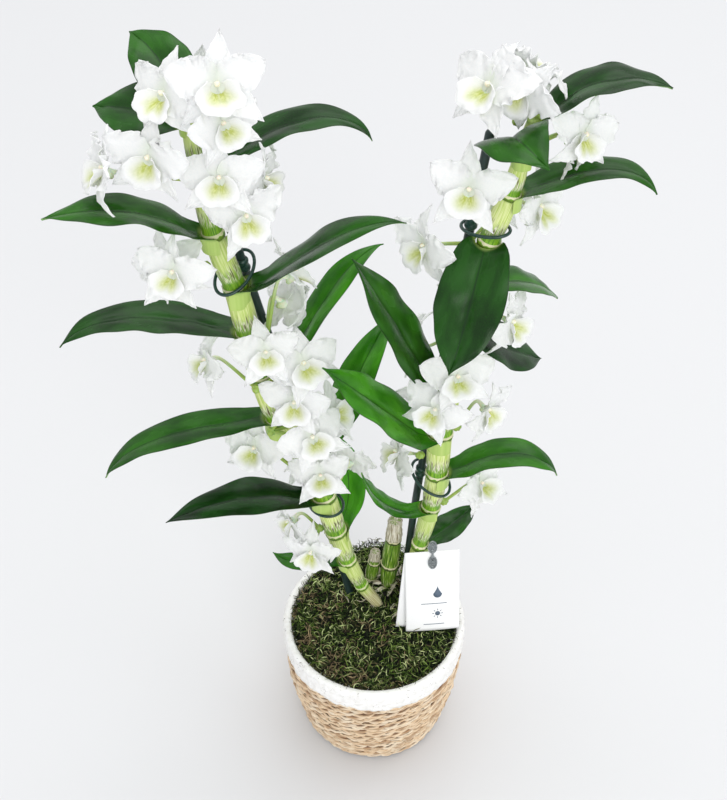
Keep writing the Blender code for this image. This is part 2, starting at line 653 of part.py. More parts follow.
# ---- flowers ----------------------------------------------------------------------------
def flower_shells(centre, azimuth, elevation, roll, span, foot):
    """A flower's three closed shells, each as rings with the points that cap its two ends:
    the stalk, the disc of petals and sepals, and the lip."""
    face = direction(azimuth, elevation)
    level = unit(np.cross((0.0, 0.0, 1.0), face))
    right, up = turned_pair(level, np.cross(face, level), roll)
    scale = span / 2

    def at(x, y, z):
        return centre + scale * (x * right + y * up + z * face)

    left_half = [(180 - angle, reach, lift) for angle, reach, lift in FLOWER_HALF_OUTLINE[:0:-1]]
    outline = []
    for angle, reach, lift in (*FLOWER_HALF_OUTLINE, *left_half):
        a = math.radians(angle)
        outline.append(at(reach * math.cos(a), reach * math.sin(a), lift))
    disc = ([outline], at(0, 0, -FLOWER_BACK), at(0, 0, FLOWER_FRONT))
    turns = [2 * math.pi * k / LIP_SIDES for k in range(LIP_SIDES)]
    cup = [[at(radius * math.cos(t), radius * math.sin(t) - sag, reach) for t in turns]
           for radius, sag, reach in ((THROAT_RADIUS, 0, LIP_FOOT), (LIP_RADIUS, LIP_SAG, LIP_REACH))]
    lip = (cup, None, at(0, -0.8 * LIP_SAG, LIP_REACH / 2))
    bend = at(0, 0, -PEDICEL_REACH)
    root = foot + 0.4 * KNOB_RADIUS * unit(bend - foot)
    path = smooth_path((centre, bend, root), 2)
    stalk = (tube_rings(path, [PEDICEL_RADIUS] * len(path), 5, up), None, None)
    return {"stalk": stalk, "disc": disc, "lip": lip}


def make_cluster(name, cane, node, foot_azimuth, flowers):
    """The flowers that grow from one node, made one solid with the foot of their stalks."""
    centre, radius = node_of(cane, node)
    foot = centre + (radius + KNOB_GAP + KNOB_RADIUS) * direction(foot_azimuth, 0)
    knob = bmesh.new()
    bmesh.ops.create_icosphere(knob, subdivisions=1, radius=KNOB_RADIUS)
    bmesh.ops.translate(knob, verts=knob.verts, vec=Vector(foot))
    cluster = add_object(name, knob, "petal")
    for number, (x, y, z, azimuth, elevation, roll, span) in enumerate(flowers, 1):
        place = centre + np.array([x, y, z]) / 1000
        shells = flower_shells(place, azimuth, elevation, roll, span / 1000, foot)
        for part, (rings, start, end) in shells.items():
            data = bmesh.new()
            add_loft(data, rings, start, end)
            combine(cluster, add_object(f"{name}_{part}_{number}", data, "petal"), "UNION")


def main():
    for old in list(bpy.data.objects):
        bpy.data.objects.remove(old)
    make_basket()
    make_pot()
    make_bark()
    make_moss()
    make_stems()
    for name, row in CLIPS.items():
        make_clip(name, *row)
    make_card()
    make_card_clip()
    for name, row in LEAVES.items():
        make_leaf(name, *row)
    for name, row in CLUSTERS.items():
        make_cluster(name, *row)


main()
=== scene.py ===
"""Looks of a two-caned white dendrobium orchid in a woven basket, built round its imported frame.

Metres, +Z up, the frame's own axes: +X is the plant's right and -Y its front. Every piece stands
where its solid in the frame stands, and rides on the one body, "root".
"""

import math

import bpy
import numpy as np
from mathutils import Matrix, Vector


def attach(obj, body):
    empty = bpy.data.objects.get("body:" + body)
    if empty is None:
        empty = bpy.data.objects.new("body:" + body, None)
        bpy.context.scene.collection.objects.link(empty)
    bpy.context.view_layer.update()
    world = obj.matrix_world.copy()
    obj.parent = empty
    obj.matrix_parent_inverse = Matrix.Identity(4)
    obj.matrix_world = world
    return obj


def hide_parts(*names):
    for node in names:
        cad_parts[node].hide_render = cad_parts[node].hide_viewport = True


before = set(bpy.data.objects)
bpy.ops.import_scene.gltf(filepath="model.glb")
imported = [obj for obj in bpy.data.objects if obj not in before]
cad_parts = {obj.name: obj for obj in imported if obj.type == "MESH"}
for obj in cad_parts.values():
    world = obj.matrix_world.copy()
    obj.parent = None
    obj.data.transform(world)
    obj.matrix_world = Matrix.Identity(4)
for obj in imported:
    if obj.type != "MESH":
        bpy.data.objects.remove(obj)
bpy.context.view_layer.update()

RANDOM = np.random.default_rng(20)

# ---- sizes of the frame ------------------------------------------------------------------
BASKET_HEIGHT = 0.120
BASKET_RIM_RADIUS = 0.075
BASKET_BASE_RADIUS = 0.061
BASKET_BULGE = 0.0040     # of the side beyond a straight taper, at mid height
BASKET_WALL = 0.0065
MOSS_RADIUS = 0.0679
MOSS_FRONT_DROP = 0.005   # of the moss below the rim
MOSS_HEAP = 0.021         # its rise behind the canes
MOSS_HEAP_X = 0.010
MOSS_HEAP_WIDTH = 0.048
STEM_FOOT = 0.0993        # just over the potting bark
STAKE_RADIUS = 0.003
CLIP_WIRE = 0.0011
NODE_SWELL = 0.0008       # of a stem at each node
KNOB_RADIUS = 0.0042      # foot of a flower cluster
KNOB_GAP = 0.0004         # between that foot and its cane

# ---- sizes of the detail -----------------------------------------------------------------
COURSES = 22              # of the weave, up the basket's side
FIRST_COURSE = 0.0052     # height of the lowest
BASE_RINGS = 8            # twisted rings under the basket
STRAND_SIDES = 10         # of a seagrass strand
BAND_STATIONS = 420       # round the painted band
BAND_LOW = 0.0985         # where the white paint ends on the basket's side
BAND_ROUND = 0.0030       # height of the rounding on top of the rim
MOSS_STRANDS = 8200
MOSS_WISPS = 520          # moss strands that climb the wall to the rim
RIM_FRAYS = (420, 620)    # white ones and dark ones
WEAVE_FRAYS = (900, 700)  # dark ones and straw ones
SCRAPS = 26               # dry litter at the foot of the old canes
SPAN_STEPS = 26           # stations from one node of a stem to the next
OLD_STEPS = 20            # the same for an old cane's joints
STEM_SIDES = 44

# ---- light and camera --------------------------------------------------------------------
# name, place, what it points at, side in metres and watts
LAMPS = (
    ("key_overhead", (0.7, 1.2, 4.8), (0, 0, 0.35), 4.2, 92),
    ("fill_front", (1.0, -4.4, 2.6), (0, 0, 0.30), 3.0, 98),
)
WORLD_STRENGTH = 0.84
FLOOR_COLOUR = (219, 220, 222)
FLOOR_RADIUS = 9
CAMERA_PLACE = (-0.00875, -0.55445, 0.88319)
CAMERA_TILT = 47.05       # degrees up from straight down
CAMERA_LENS, CAMERA_SENSOR = 50, 36  # mm

# ---- the plant ---------------------------------------------------------------------------
# a stem's y, then x, height above the basket's rim and radius at each node
STEMS = {
    "cane_left": (0.009, (
        (0.005, 0.002, 0.0040), (-0.010, 0.031, 0.0052), (-0.021, 0.063, 0.0065), (-0.030, 0.099, 0.0080),
        (-0.038, 0.139, 0.0085), (-0.051, 0.182, 0.0085), (-0.068, 0.221, 0.0085), (-0.078, 0.262, 0.0085),
        (-0.084, 0.298, 0.0080), (-0.090, 0.336, 0.0075), (-0.100, 0.376, 0.0065), (-0.105, 0.420, 0.0050),
        (-0.108, 0.458, 0.0035),
    )),
    "cane_right": (0.017, (
        (0.028, 0.012, 0.0055), (0.036, 0.073, 0.0060), (0.043, 0.118, 0.0070), (0.046, 0.156, 0.0080),
        (0.047, 0.198, 0.0085), (0.051, 0.245, 0.0085), (0.056, 0.290, 0.0085), (0.061, 0.328, 0.0080),
        (0.069, 0.365, 0.0070), (0.079, 0.399, 0.0060), (0.084, 0.426, 0.0045), (0.088, 0.449, 0.0035),
    )),
    "old_cane": (0.028, (
        (0.0115, 0.008, 0.0055), (0.0130, 0.035, 0.0068), (0.0155, 0.067, 0.0060), (0.0165, 0.090, 0.0042),
    )),
    "old_bulb": (0.034, ((-0.0020, 0.010, 0.0050), (0.0000, 0.030, 0.0047), (0.0010, 0.044, 0.0024))),
}
# a stake's y, then x and height above the rim
STAKES = {
    "left": (0.0216, ((-0.0205, 0.006), (-0.0560, 0.206), (-0.0978, 0.403))),
    "right": (0.028, ((0.0255, 0.011), (0.0350, 0.150), (0.0575, 0.363), (0.0653, 0.434))),
}
# cane, node, how far clear of the flower foot at that node, and tilt in degrees
CLIPS = {
    "clip_left_upper": ("left", 9, 0.0037, 24),
    "clip_left_lower": ("left", 4, -0.0057, -8),
    "clip_right_upper": ("right", 8, 0.0027, -10),
    "clip_right_lower": ("right", 3, -0.0027, 20),
}
# each cane's leaves: node, then in degrees the azimuth, the rise at the stalk, how far it
# droops and turns by the tip, how late the droop sets in (1 is evenly, 4 is near the tip),
# the roll about the midrib in degrees, and the length and width in metres
LEAVES = {
    "left": (
        (12, 116, 44, 41, 20, 1, 20, 0.062, 0.036),
        (11.8, 158, 12, 24, 4, 1, 20, 0.056, 0.040),
        (11, 31, 22, 90, -44, 4, 0, 0.108, 0.032),
        (10, 204, 52, 70, -20, 1, 0, 0.098, 0.036),
        (9, 344, 42, 54, 15, 4, 0, 0.118, 0.036),
        (8, 170, 13, 55, 42, 4, 0, 0.118, 0.034),
        (7, 7, 60, 79, 36, 4, 0, 0.122, 0.028),
        (5, 15, 65, 81, 51, 4, 0, 0.122, 0.034),
        (6, 181, -7, 60, 19, 4, 0, 0.128, 0.032),
        (4, 206, 44, 74, -17, 1, 0, 0.117, 0.036),
        (3, 66, 20, -40, 60, 1, 0, 0.072, 0.028),
        (2, 174, -20, -54, -20, 4, 0, 0.058, 0.021),
    ),
    "right": (
        (11, 8, 56, 76, -25, 1, 2, 0.077, 0.038),
        (10, 230, 78, 108, 90, 1, -20, 0.074, 0.044),
        (9, 16, 20, 84, -49, 4, 0, 0.087, 0.032),
        (8, 249, -45, -31, 0, 4, 0, 0.081, 0.045),
        (5, 190, 66, 4, 11, 2, 38, 0.133, 0.038),
        (4, 214, 52, 4, -15, 4, 34, 0.129, 0.038),
        (7, 28, -2, 51, -3, 1, 0, 0.071, 0.034),
        (6, 16, -42, -8, 20, 1, -30, 0.072, 0.036),
        (3, 3, 37, 107, -15, 2, 0, 0.092, 0.032),
        (1, 30, 12, -19, 12, 4, 0, 0.050, 0.026),
        (2, 207, 20, -59, -35, 1, 0, 0.075, 0.022),
    ),
}
# leaves painted lighter or darker for the light that shines through them from behind, from 0 for dark to 1
# for light; on the others the shade varies a little at random
LEAF_PAINTED_BACKLIGHT = {
    "leaf_left_7": 0.75, "leaf_left_8": 0.85, "leaf_left_9": 0.3, "leaf_left_11": 1.0,
    "leaf_left_12": 0.6, "leaf_right_3": 0.35, "leaf_right_6": 0.95, "leaf_right_7": 0.6,
    "leaf_right_9": 0.5, "leaf_right_11": 0.9,
}
NOTCHED_LEAF = "leaf_right_4"  # its base reaches back on both sides of the midrib
# each cane's clusters: node, azimuth of its foot on the stem, and for each flower the place
# of its centre from the node in millimetres (x, y, z), the azimuth and elevation that it
# faces and its roll in degrees, and its span in millimetres
CLUSTERS = {
    "left": (
        (12, -10, (22, -23, 27, -75, 30, 0, 54), (-8, -15, 18, -120, 25, 0, 50),
         (23, -24, 6, -55, 15, 10, 46), (2, 38, -4, 85, 0, 5, 48)),
        (11, -75, (-23, -17, 19, -110, 10, 0, 52), (-50, -12, 8, -160, 20, 0, 50),
         (16, -26, 11, -90, 25, 0, 50), (37, 0, -5, -10, 0, 10, 48)),
        (10, -20, (23, -21, 27, -70, 15, 0, 50), (13, 27, 12, 80, 15, 0, 48)),
        (9.5, -160, (-26, -30.5, 13.5, -110, 25, 0, 48), (-33, -6, -1, -125, 15, 35, 52)),
        (8, -25, (29, 10, 40, 25, 15, -20, 50), (23, 9, 19, 25, -35, -35, 50),
         (13, -26, 5, -80, 35, 0, 46)),
        (7, -100, (-37, 10, 4, -155, 12, 0, 48), (30, -16, 23, -70, 35, 10, 52)),
        (6, -110, (13, -21, 35, -90, 20, 0, 48), (37, -8, 11, -25, 30, 45, 46),
         (25, -29, 9, -80, 40, 20, 50)),
        (5, -120, (-35, -6, 15, -115, 25, 0, 50), (12, -28, 9, -85, 40, 5, 46)),
        (4, 50, (-13, 33, 0, 115, 5, 5, 48), (19, 26, 11, 65, 5, 0, 46)),
        (3, 165, (-35, 8, 4, -150, -15, 0, 50), (-19, -14, -7, -105, 5, 0, 46)),
    ),
    "right": (
        (11, -170, (-28, -12, 26, -135, 30, 0, 54), (-2, 15, 22, 45, 45, 30, 50),
         (-10, -14, 26, -115, -5, -40, 46)),
        (10, 65, (32, -6, 17, -60, 5, -15, 46), (31, 13, 2, -20, -20, 0, 46)),
        (9, 130, (-27, -24, 18, -105, 25, 0, 52), (21, 18, -20, -45, 10, 0, 50)),
        (8, 185, (-38, 8, -9, -150, 8, 0, 52), (6, 33, 6, 85, 5, 0, 48)),
        (6, 60, (31, -4, 15, -40, 5, 10, 50), (8, 33, 6, 80, 5, 0, 46), (-27, 31, -32, 165, 5, 10, 48)),
        (5, -110, (2, -28, 32, -85, 35, 0, 50), (-12, -32, 7, -105, 25, -20, 48)),
        (4, 30, (31, 2, 23, -45, 0, 0, 50), (-8, 28, 10, 100, 15, 0, 48)),
        (3.5, 185, (-28, 13, -12, -175, 10, 0, 54)),
        (2, 30, (37, 6, 20, -40, 30, 0, 50)),
    ),
}


# ---- geometry ----------------------------------------------------------------------------
def direction(azimuth, elevation):
    """The unit vector at an azimuth and an elevation in degrees."""
    a, e = np.radians(azimuth), np.radians(elevation)
    return np.stack([np.cos(e) * np.cos(a), np.cos(e) * np.sin(a), np.sin(e) + 0 * a], -1)


def unit(vectors):
    """Vectors brought to length 1."""
    return vectors / np.maximum(np.linalg.norm(vectors, axis=-1, keepdims=True), 1e-12)


def turned_pair(first, second, degrees):
    """Two perpendicular vectors, turned together in their own plane."""
    c, s = np.cos(np.radians(degrees))[..., None], np.sin(np.radians(degrees))[..., None]
    return c * first + s * second, c * second - s * first


def smooth_step(low, high, value):
    """0 up to low, 1 from high on and a smooth rise between; falls if low is the greater."""
    t = np.clip((value - low) / (high - low), 0, 1)
    return t * t * (3 - 2 * t)


def bell(value, width, middle=0.0):
    """1 at the middle, falling off smoothly over the width on both sides."""
    return np.exp(-((value - middle) / width) ** 2)


def smooth_path(points, steps):
    """Catmull-Rom through rows of numbers, with steps stations to each span."""
    rows = np.array(points, float)
    rows = np.vstack([2 * rows[0] - rows[1], rows, 2 * rows[-1] - rows[-2]])
    t = (np.arange(steps) / steps)[:, None]
    path = []
    for a, b, c, d in zip(rows, rows[1:], rows[2:], rows[3:]):
        cubic = (3 * b - a - 3 * c + d) * t ** 3
        path.append(0.5 * (2 * b + (c - a) * t + (2 * a - 5 * b + 4 * c - d) * t * t + cubic))
    return np.vstack([*path, rows[-2:-1]])


def path_frames(path, side):
    """Two cross directions at each point of a path, twisting as little as possible."""
    tangents = unit(np.gradient(path, axis=0))
    first = np.empty_like(path)
    side = np.array(side, float)
    for i, tangent in enumerate(tangents):
        side = unit(side - tangent * side.dot(tangent))
        first[i] = side
    return first, np.cross(tangents, first)


def waves(u, v, seed, count=5, low=1.0, high=4.0):
    """A smooth random field over u and v, about -1 to 1, from a few crossed waves."""
    rng = np.random.default_rng(seed)
    total = 0
    for _ in range(count):
        fu, fv = rng.uniform(low, high, 2) * rng.choice([-1, 1], 2)
        total = total + np.sin(fu * u + fv * v + rng.uniform(0, 6.28))
    return total / math.sqrt(count * 2)


def closed(rows):
    """Rows round a ring, with the first one again at the end."""
    return np.concatenate([rows, rows[:1]])


def about_axis(radius, angle, height):
    """Points at a distance and an angle about the vertical axis."""
    places = np.broadcast_arrays(radius * np.cos(angle), radius * np.sin(angle), height)
    return np.stack(places, -1)


def full_turn(count):
    """Angles evenly round a circle."""
    return np.linspace(0, 2 * math.pi, count, endpoint=False)


def grid_faces(rows, cols, wrap):
    """Four-sided faces between the points of a grid, joined round its columns to wrap."""
    i = np.arange(rows - 1)[:, None]
    j = np.arange(cols if wrap else cols - 1)[None, :]
    k = (j + 1) % cols
    return np.stack([i * cols + j, i * cols + k, (i + 1) * cols + k, (i + 1) * cols + j], -1).reshape(-1, 4)


def on_grid(values, rows, cols):
    """A paint or grain row for each point of a grid, from numbers or arrays."""
    grids = [np.broadcast_to(np.asarray(v, float), (rows, cols)) for v in values]
    return np.stack(grids, -1).reshape(rows * cols, len(values))


class Piece:
    """Gathers points and faces of one piece. Each point has a paint (four numbers) and a grain
    (a place in metres that its fine texture follows), which its material reads."""

    def __init__(self):
        self.points, self.faces, self.paint, self.grain, self.slots = [], [], [], [], []
        self.count = 0

    def add(self, points, faces, paint, grain, slot=0):
        self.points.append(points)
        self.paint.append(paint)
        self.grain.append(grain)
        for face in faces:
            self.faces.append(np.asarray(face) + self.count)
            self.slots.append(np.full(len(face), slot))
        self.count += len(points)

    def tube(self, rings, paint, grain, slot=0, caps=True):
        """Rings (rows, sides, 3) joined into a skin, its ends closed to a point."""
        rows, cols = rings.shape[:2]
        paint, grain = on_grid(paint, rows, cols), on_grid(grain, rows, cols)
        points, faces = rings.reshape(-1, 3), [grid_faces(rows, cols, True)]
        if caps:
            points = np.vstack([points, rings[0].mean(0), rings[-1].mean(0)])
            paint = np.vstack([paint, paint[0], paint[-1]])
            grain = np.vstack([grain, grain[0], grain[-1]])
            j = np.arange(cols)
            k = (j + 1) % cols
            first, last = rows * cols, (rows - 1) * cols
            faces.append(np.concatenate([
                np.stack([k, j, np.full(cols, first)], -1),
                np.stack([last + j, last + k, np.full(cols, first + 1)], -1),
            ]))
        self.add(points, faces, paint, grain, slot)

    def plain_tube(self, rings, slot=0, caps=True, paint=(0, 0, 0, 0)):
        """A tube of one paint, whose grain is its own place."""
        self.tube(rings, paint, np.moveaxis(rings, -1, 0), slot, caps)

    def shell(self, sheet, thickness, paint, grain, slot=0):
        """A thin closed shell about a sheet of points. Its three paint numbers are given, and
        the fourth is 1 on the face that the columns crossed with the rows point to, 0 behind."""
        rows, cols = sheet.shape[:2]
        count = rows * cols
        normal = unit(np.cross(np.gradient(sheet, axis=1), np.gradient(sheet, axis=0)))
        half = np.broadcast_to(np.asarray(thickness, float), (rows, cols))[..., None] / 2
        upper = grid_faces(rows, cols, False)
        j, i, last = np.arange(cols - 1), np.arange(rows - 1) * cols, count - cols
        edges = (j, j + 1), (j + 1 + last, j + last), (i + cols - 1, i + 2 * cols - 1), (i + cols, i)
        rim = [np.stack([b, a, a + count, b + count], -1) for a, b in edges]
        face = np.repeat([1.0, 0.0], count)[:, None]
        paint = np.hstack([np.tile(on_grid(paint, rows, cols), (2, 1)), face])
        points = np.vstack([(sheet + normal * half).reshape(-1, 3), (sheet - normal * half).reshape(-1, 3)])
        grain = np.tile(on_grid(grain, rows, cols), (2, 1))
        self.add(points, [upper, upper[:, ::-1] + count, *rim], paint, grain, slot)

    def build(self, name, materials, replaced, slot, flat_angle=None):
        """Makes the object, which stands in for the replaced nodes of the frame. Edges that
        bend by more than flat_angle degrees stay sharp."""
        mesh = bpy.data.meshes.new(name)
        faces = [face for block in self.faces for face in block.tolist()]
        mesh.from_pydata(np.vstack(self.points).tolist(), [], faces)
        paint = mesh.attributes.new("paint", "FLOAT_COLOR", "POINT")
        paint.data.foreach_set("color", np.vstack(self.paint).astype(np.float32).ravel())
        grain = mesh.attributes.new("grain", "FLOAT_VECTOR", "POINT")
        grain.data.foreach_set("vector", np.vstack(self.grain).astype(np.float32).ravel())
        mesh.polygons.foreach_set("material_index", np.concatenate(self.slots).astype(np.int32))
        mesh.shade_smooth()
        if flat_angle:
            mesh.set_sharp_from_angle(angle=math.radians(flat_angle))
        for material in materials:
            mesh.materials.append(material)
        piece = bpy.data.objects.new(name, mesh)
        bpy.context.collection.objects.link(piece)
        if replaced:
            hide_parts(*replaced)
        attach(piece, "root")
        return piece


def ring_spokes(first, second, sides):
    """Directions round each row of first, in the plane that it spans with second."""
    turn = full_turn(sides)[:, None]
    return np.cos(turn) * first[:, None] + np.sin(turn) * second[..., None, :]


def rings_about(path, radii, sides, side=(0, 1, 0)):
    """Round rings about a path; radii may be one, one for each ring, or one for each point."""
    radii = np.asarray(radii, float)
    if radii.ndim < 2:
        radii = np.broadcast_to(radii, (len(path),))[:, None]
    return path[:, None] + radii[..., None] * ring_spokes(*path_frames(path, side), sides)


def along(path):
    """Distance run at each point of a path."""
    return np.concatenate([[0], np.cumsum(np.linalg.norm(np.diff(path, axis=0), axis=1))])


# ---- materials ---------------------------------------------------------------------------
def linear(levels):
    """A colour given as it looks on screen, 0 to 255, as the linear one that shaders use."""
    return *(((c / 255 + 0.055) / 1.055) ** 2.4 if c > 10 else c / 255 / 12.92 for c in levels), 1


class Look:
    """A Principled material and short ways to add the nodes that drive it. Its colours are
    given as they look on screen, 0 to 255."""

    def __init__(self, name, **settings):
        self.material = bpy.data.materials.new(name)
        self.material.use_nodes = True
        self.tree = self.material.node_tree
        self.shader = self.tree.nodes["Principled BSDF"]
        for key, value in settings.items():
            self.set(key.replace("_", " ").title().replace("Ior", "IOR"), value)

    def set(self, socket, value):
        self.wire(self.shader.inputs[socket], value)

    def wire(self, socket, value):
        """Feeds a socket from another one, or sets its value."""
        if isinstance(value, bpy.types.NodeSocket):
            self.tree.links.new(value, socket)
        else:
            socket.default_value = linear(value) if socket.type == "RGBA" else value

    def node(self, kind, inputs=(), **settings):
        node = self.tree.nodes.new("ShaderNode" + kind)
        for key, value in settings.items():
            setattr(node, key, value)
        for key, value in dict(inputs).items():
            self.wire(node.inputs[key], value)
        return node

    def paint(self):
        """The four paint numbers as sockets."""
        node = self.node("Attribute", attribute_name="paint")
        parts = self.node("SeparateColor", {"Color": node.outputs["Color"]})
        return *parts.outputs, node.outputs["Alpha"]

    def noise(self, stretch, scale, detail, roughness=0.5):
        """Noise over the grain, which is first multiplied by three numbers."""
        grain = self.node("Attribute", attribute_name="grain").outputs["Vector"]
        place = self.node("VectorMath", {0: grain, 1: stretch}, operation="MULTIPLY").outputs[0]
        inputs = {"Vector": place, "Scale": scale, "Detail": detail, "Roughness": roughness}
        return self.node("TexNoise", inputs).outputs["Fac"]

    def math(self, operation, a, b):
        return self.node("Math", {0: a, 1: b}, operation=operation).outputs[0]

    def spread(self, value, low, high, to_low=0.0, to_high=1.0):
        """A smooth step from low to high, spread over another range."""
        inputs = {"Value": value, "From Min": low, "From Max": high, "To Min": to_low, "To Max": to_high}
        return self.node("MapRange", inputs, interpolation_type="SMOOTHSTEP").outputs[0]

    def mix(self, share, first, second):
        """A blend of two colours. The share of the second may be a tuple that spread takes."""
        share = self.spread(*share) if isinstance(share, tuple) else share
        node = self.node("Mix", data_type="RGBA")
        for index, value in ((0, share), (6, first), (7, second)):
            self.wire(node.inputs[index], value)
        return node.outputs[2]

    def ramp(self, value, stops):
        """A colour for a value, from rows of place and colour."""
        node = self.node("ValToRGB", {"Fac": value})
        elements = node.color_ramp.elements
        for element, (place, colour) in zip(elements, (stops[0], stops[-1])):
            element.position, element.color = place, linear(colour)
        for place, colour in stops[1:-1]:
            elements.new(place).color = linear(colour)
        return node.outputs["Color"]

    def bump(self, height, distance, strength):
        inputs = {"Height": height, "Distance": distance, "Strength": strength}
        self.set("Normal", self.node("Bump", inputs).outputs["Normal"])

    def coat(self, colour, height, distance, strength):
        """Gives the surface its colour and relief; the material is then complete."""
        self.set("Base Color", colour)
        self.bump(height, distance, strength)
        return self.material

    def let_through(self, colour, share):
        """Lets some of the light that falls on one side out at the other."""
        glow = self.node("BsdfTranslucent", {"Color": colour})
        both = self.node("MixShader", {0: share, 1: self.shader.outputs[0], 2: glow.outputs[0]})
        self.wire(self.tree.nodes["Material Output"].inputs["Surface"], both.outputs[0])


def leaf_look():
    """Leathery green blade. Paint: length run, distance from the midrib, the leaf's shade (painted
    backlight on the listed leaves, random tone on the rest), and upper or under side. Grain:
    across and along the blade."""
    look = Look("leaf_blade", specular_ior_level=0.24)
    run, off, shade, upper = look.paint()
    veins = look.noise((1, 0.03, 1), 1500, 1)
    clouds = look.noise((1, 0.5, 0.4), 70, 3)
    # the leaf's shade picks between dark and lit copies of the green: painted backlight on the listed leaves
    deep = look.mix(shade, (3, 28, 5), (38, 104, 12))
    light = look.mix(shade, (18, 64, 16), (74, 152, 30))
    top = look.mix((clouds, 0.35, 0.7), deep, light)
    top = look.mix((veins, 0.45, 0.8, 0, 0.4), top, light)
    # painted shade along the midrib's groove on the upper side
    top = look.mix((off, 0.0, 0.05, 0.75, 0), top, (18, 46, 20))
    under = look.mix((veins, 0.3, 0.7), (92, 140, 66), (122, 166, 90))
    under = look.mix((off, 0.0, 0.07, 0.8, 0), under, (158, 192, 110))
    colour = look.mix(upper, under, top)
    colour = look.mix((off, 0.95, 0.99, 0, 0.6), colour, (20, 44, 20))
    base = look.mix(veins, (150, 186, 84), (196, 214, 130))
    colour = look.mix((run, 0.005, 0.06, 1, 0), colour, base)
    look.set("Base Color", colour)
    look.set("Roughness", look.spread(clouds, 0.3, 0.7, 0.18, 0.30))
    look.bump(veins, 0.0002, 0.5)
    return look.material


def petal_look():
    """White petals with faint veins. Paint: length run, distance from the middle, and how far
    it is throat."""
    look = Look("petal_white", roughness=0.6, specular_ior_level=0.25)
    run, _, throat, _ = look.paint()
    veins = look.noise((1, 0.08, 1), 900, 1)
    colour = look.mix((veins, 0.35, 0.75, 0, 0.4), (254, 254, 254), (242, 246, 248))
    colour = look.mix((run, 0.0, 0.35, 0.45, 0), colour, (226, 238, 214))
    patches = look.noise((1, 1, 1), 500, 2)
    yellow = look.mix((patches, 0.35, 0.7), (206, 216, 96), (234, 239, 164))
    colour = look.mix(throat, colour, yellow)
    look.set("Base Color", colour)
    look.bump(veins, 0.0002, 0.3)
    look.let_through(colour, 0.35)
    return look.material


def stalk_look():
    """Flower stalks, and the foot they grow from: green below, white near the flower. Paint:
    how far along, 0 at the foot."""
    look = Look("stalk_green", roughness=0.45, subsurface_weight=0.25, subsurface_scale=0.002)
    run = look.paint()[0]
    mottle = look.noise((1, 1, 0.1), 900, 2)
    low = look.mix(mottle, (120, 156, 56), (176, 200, 104))
    high = look.mix(mottle, (214, 228, 186), (246, 248, 238))
    return look.coat(look.mix((run, 0.15, 0.85), low, high), mottle, 0.0002, 0.4)


def cane_look():
    """Sheathed stem. Paint: share of the way from one node ring to the next, a random number
    for the joint, how dry it is, and how far it is a papery edge. Grain: round and along it."""
    look = Look("cane_sheath", roughness=0.42, specular_ior_level=0.4)
    run, odd, dry, edge = look.paint()
    streaks = look.noise((1, 1, 0.04), 1400, 2)
    fringe = look.noise((1, 1, 0.10), 950, 1)
    shade = look.spread(streaks, 0.35, 0.65)
    pale = look.mix(shade, (186, 208, 104), (226, 234, 168))
    green = look.mix(shade, (58, 118, 10), (142, 192, 48))
    brown = look.mix(shade, (176, 156, 112), (232, 222, 190))
    comb = look.ramp(fringe, ((0.36, (92, 88, 40)), (0.45, (240, 240, 212)), (0.56, (120, 160, 50))))
    height = look.math("ADD", run, look.spread(fringe, 0.2, 0.8, -0.10, 0.10))
    colour = look.mix((height, 0.17, 0.24), green, comb)
    colour = look.mix((height, 0.34, 0.56), colour, pale)
    colour = look.mix((run, 0.90, 1.0, 0, 0.6), colour, green)
    colour = look.mix((run, 0.0, 0.035, 1, 0), colour, (92, 120, 30))
    colour = look.mix(edge, colour, (226, 224, 184))
    colour = look.mix(dry, colour, brown)
    colour = look.mix((odd, 0.0, 1.0, 0.0, 0.25), colour, (120, 160, 50))
    return look.coat(colour, streaks, 0.0004, 0.6)


def old_joint_look():
    """Shrivelled joints of the old canes: dark green between pale lengthwise fibres. Paint
    and grain as on a cane."""
    look = Look("old_joint", roughness=0.5)
    run, _, _, edge = look.paint()
    streaks = look.noise((1, 1, 0.05), 1300, 2)
    stops = ((0.34, (44, 80, 10)), (0.52, (98, 142, 24)), (0.60, (150, 178, 70)), (0.68, (226, 230, 190)))
    colour = look.mix((run, 0.0, 0.08, 1, 0), look.ramp(streaks, stops), (58, 70, 24))
    return look.coat(look.mix(edge, colour, (214, 208, 170)), streaks, 0.0005, 0.7)


def paper_sheath_look():
    """Dry papery sheath of the old canes: grey-white fibres with brown between them."""
    look = Look("dry_sheath", roughness=0.8)
    streaks = look.noise((1, 1, 0.05), 1500, 3, 0.6)
    stops = ((0.32, (96, 84, 62)), (0.45, (176, 166, 140)), (0.60, (232, 228, 214)))
    return look.coat(look.ramp(streaks, stops), streaks, 0.0006, 0.8)


def seagrass_look():
    """Dried seagrass. Paint: a random number for the strand, painted shade in the gaps between
    strands and on their inner side, a paint share, and a second random number. Grain: round the
    strand and along it."""
    look = Look("seagrass_fibre", roughness=0.62, specular_ior_level=0.3)
    odd, gap_shade, white, other = look.paint()
    fibres = look.noise((1, 1, 0.08), 1700, 3, 0.65)
    patches = look.noise((1, 1, 0.5), 90, 2)
    stops = (
        (0.28, (92, 62, 40)), (0.36, (206, 168, 128)), (0.46, (236, 208, 172)),
        (0.58, (246, 226, 196)), (0.72, (253, 242, 224)),
    )
    colour = look.ramp(fibres, stops)
    colour = look.mix((patches, 0.5, 0.75, 0, 0.45), colour, (196, 150, 104))
    colour = look.mix((odd, 0.62, 0.95, 0, 0.6), colour, (158, 112, 70))
    colour = look.mix((other, 0.55, 0.95, 0, 0.7), colour, (252, 238, 214))
    # painted shade: the strands are darker in the gaps between them and on their inner side
    colour = look.mix(look.math("MULTIPLY", gap_shade, 0.8), colour, (120, 80, 48))
    return look.coat(look.mix(white, colour, (244, 243, 240)), fibres, 0.0008, 0.8)


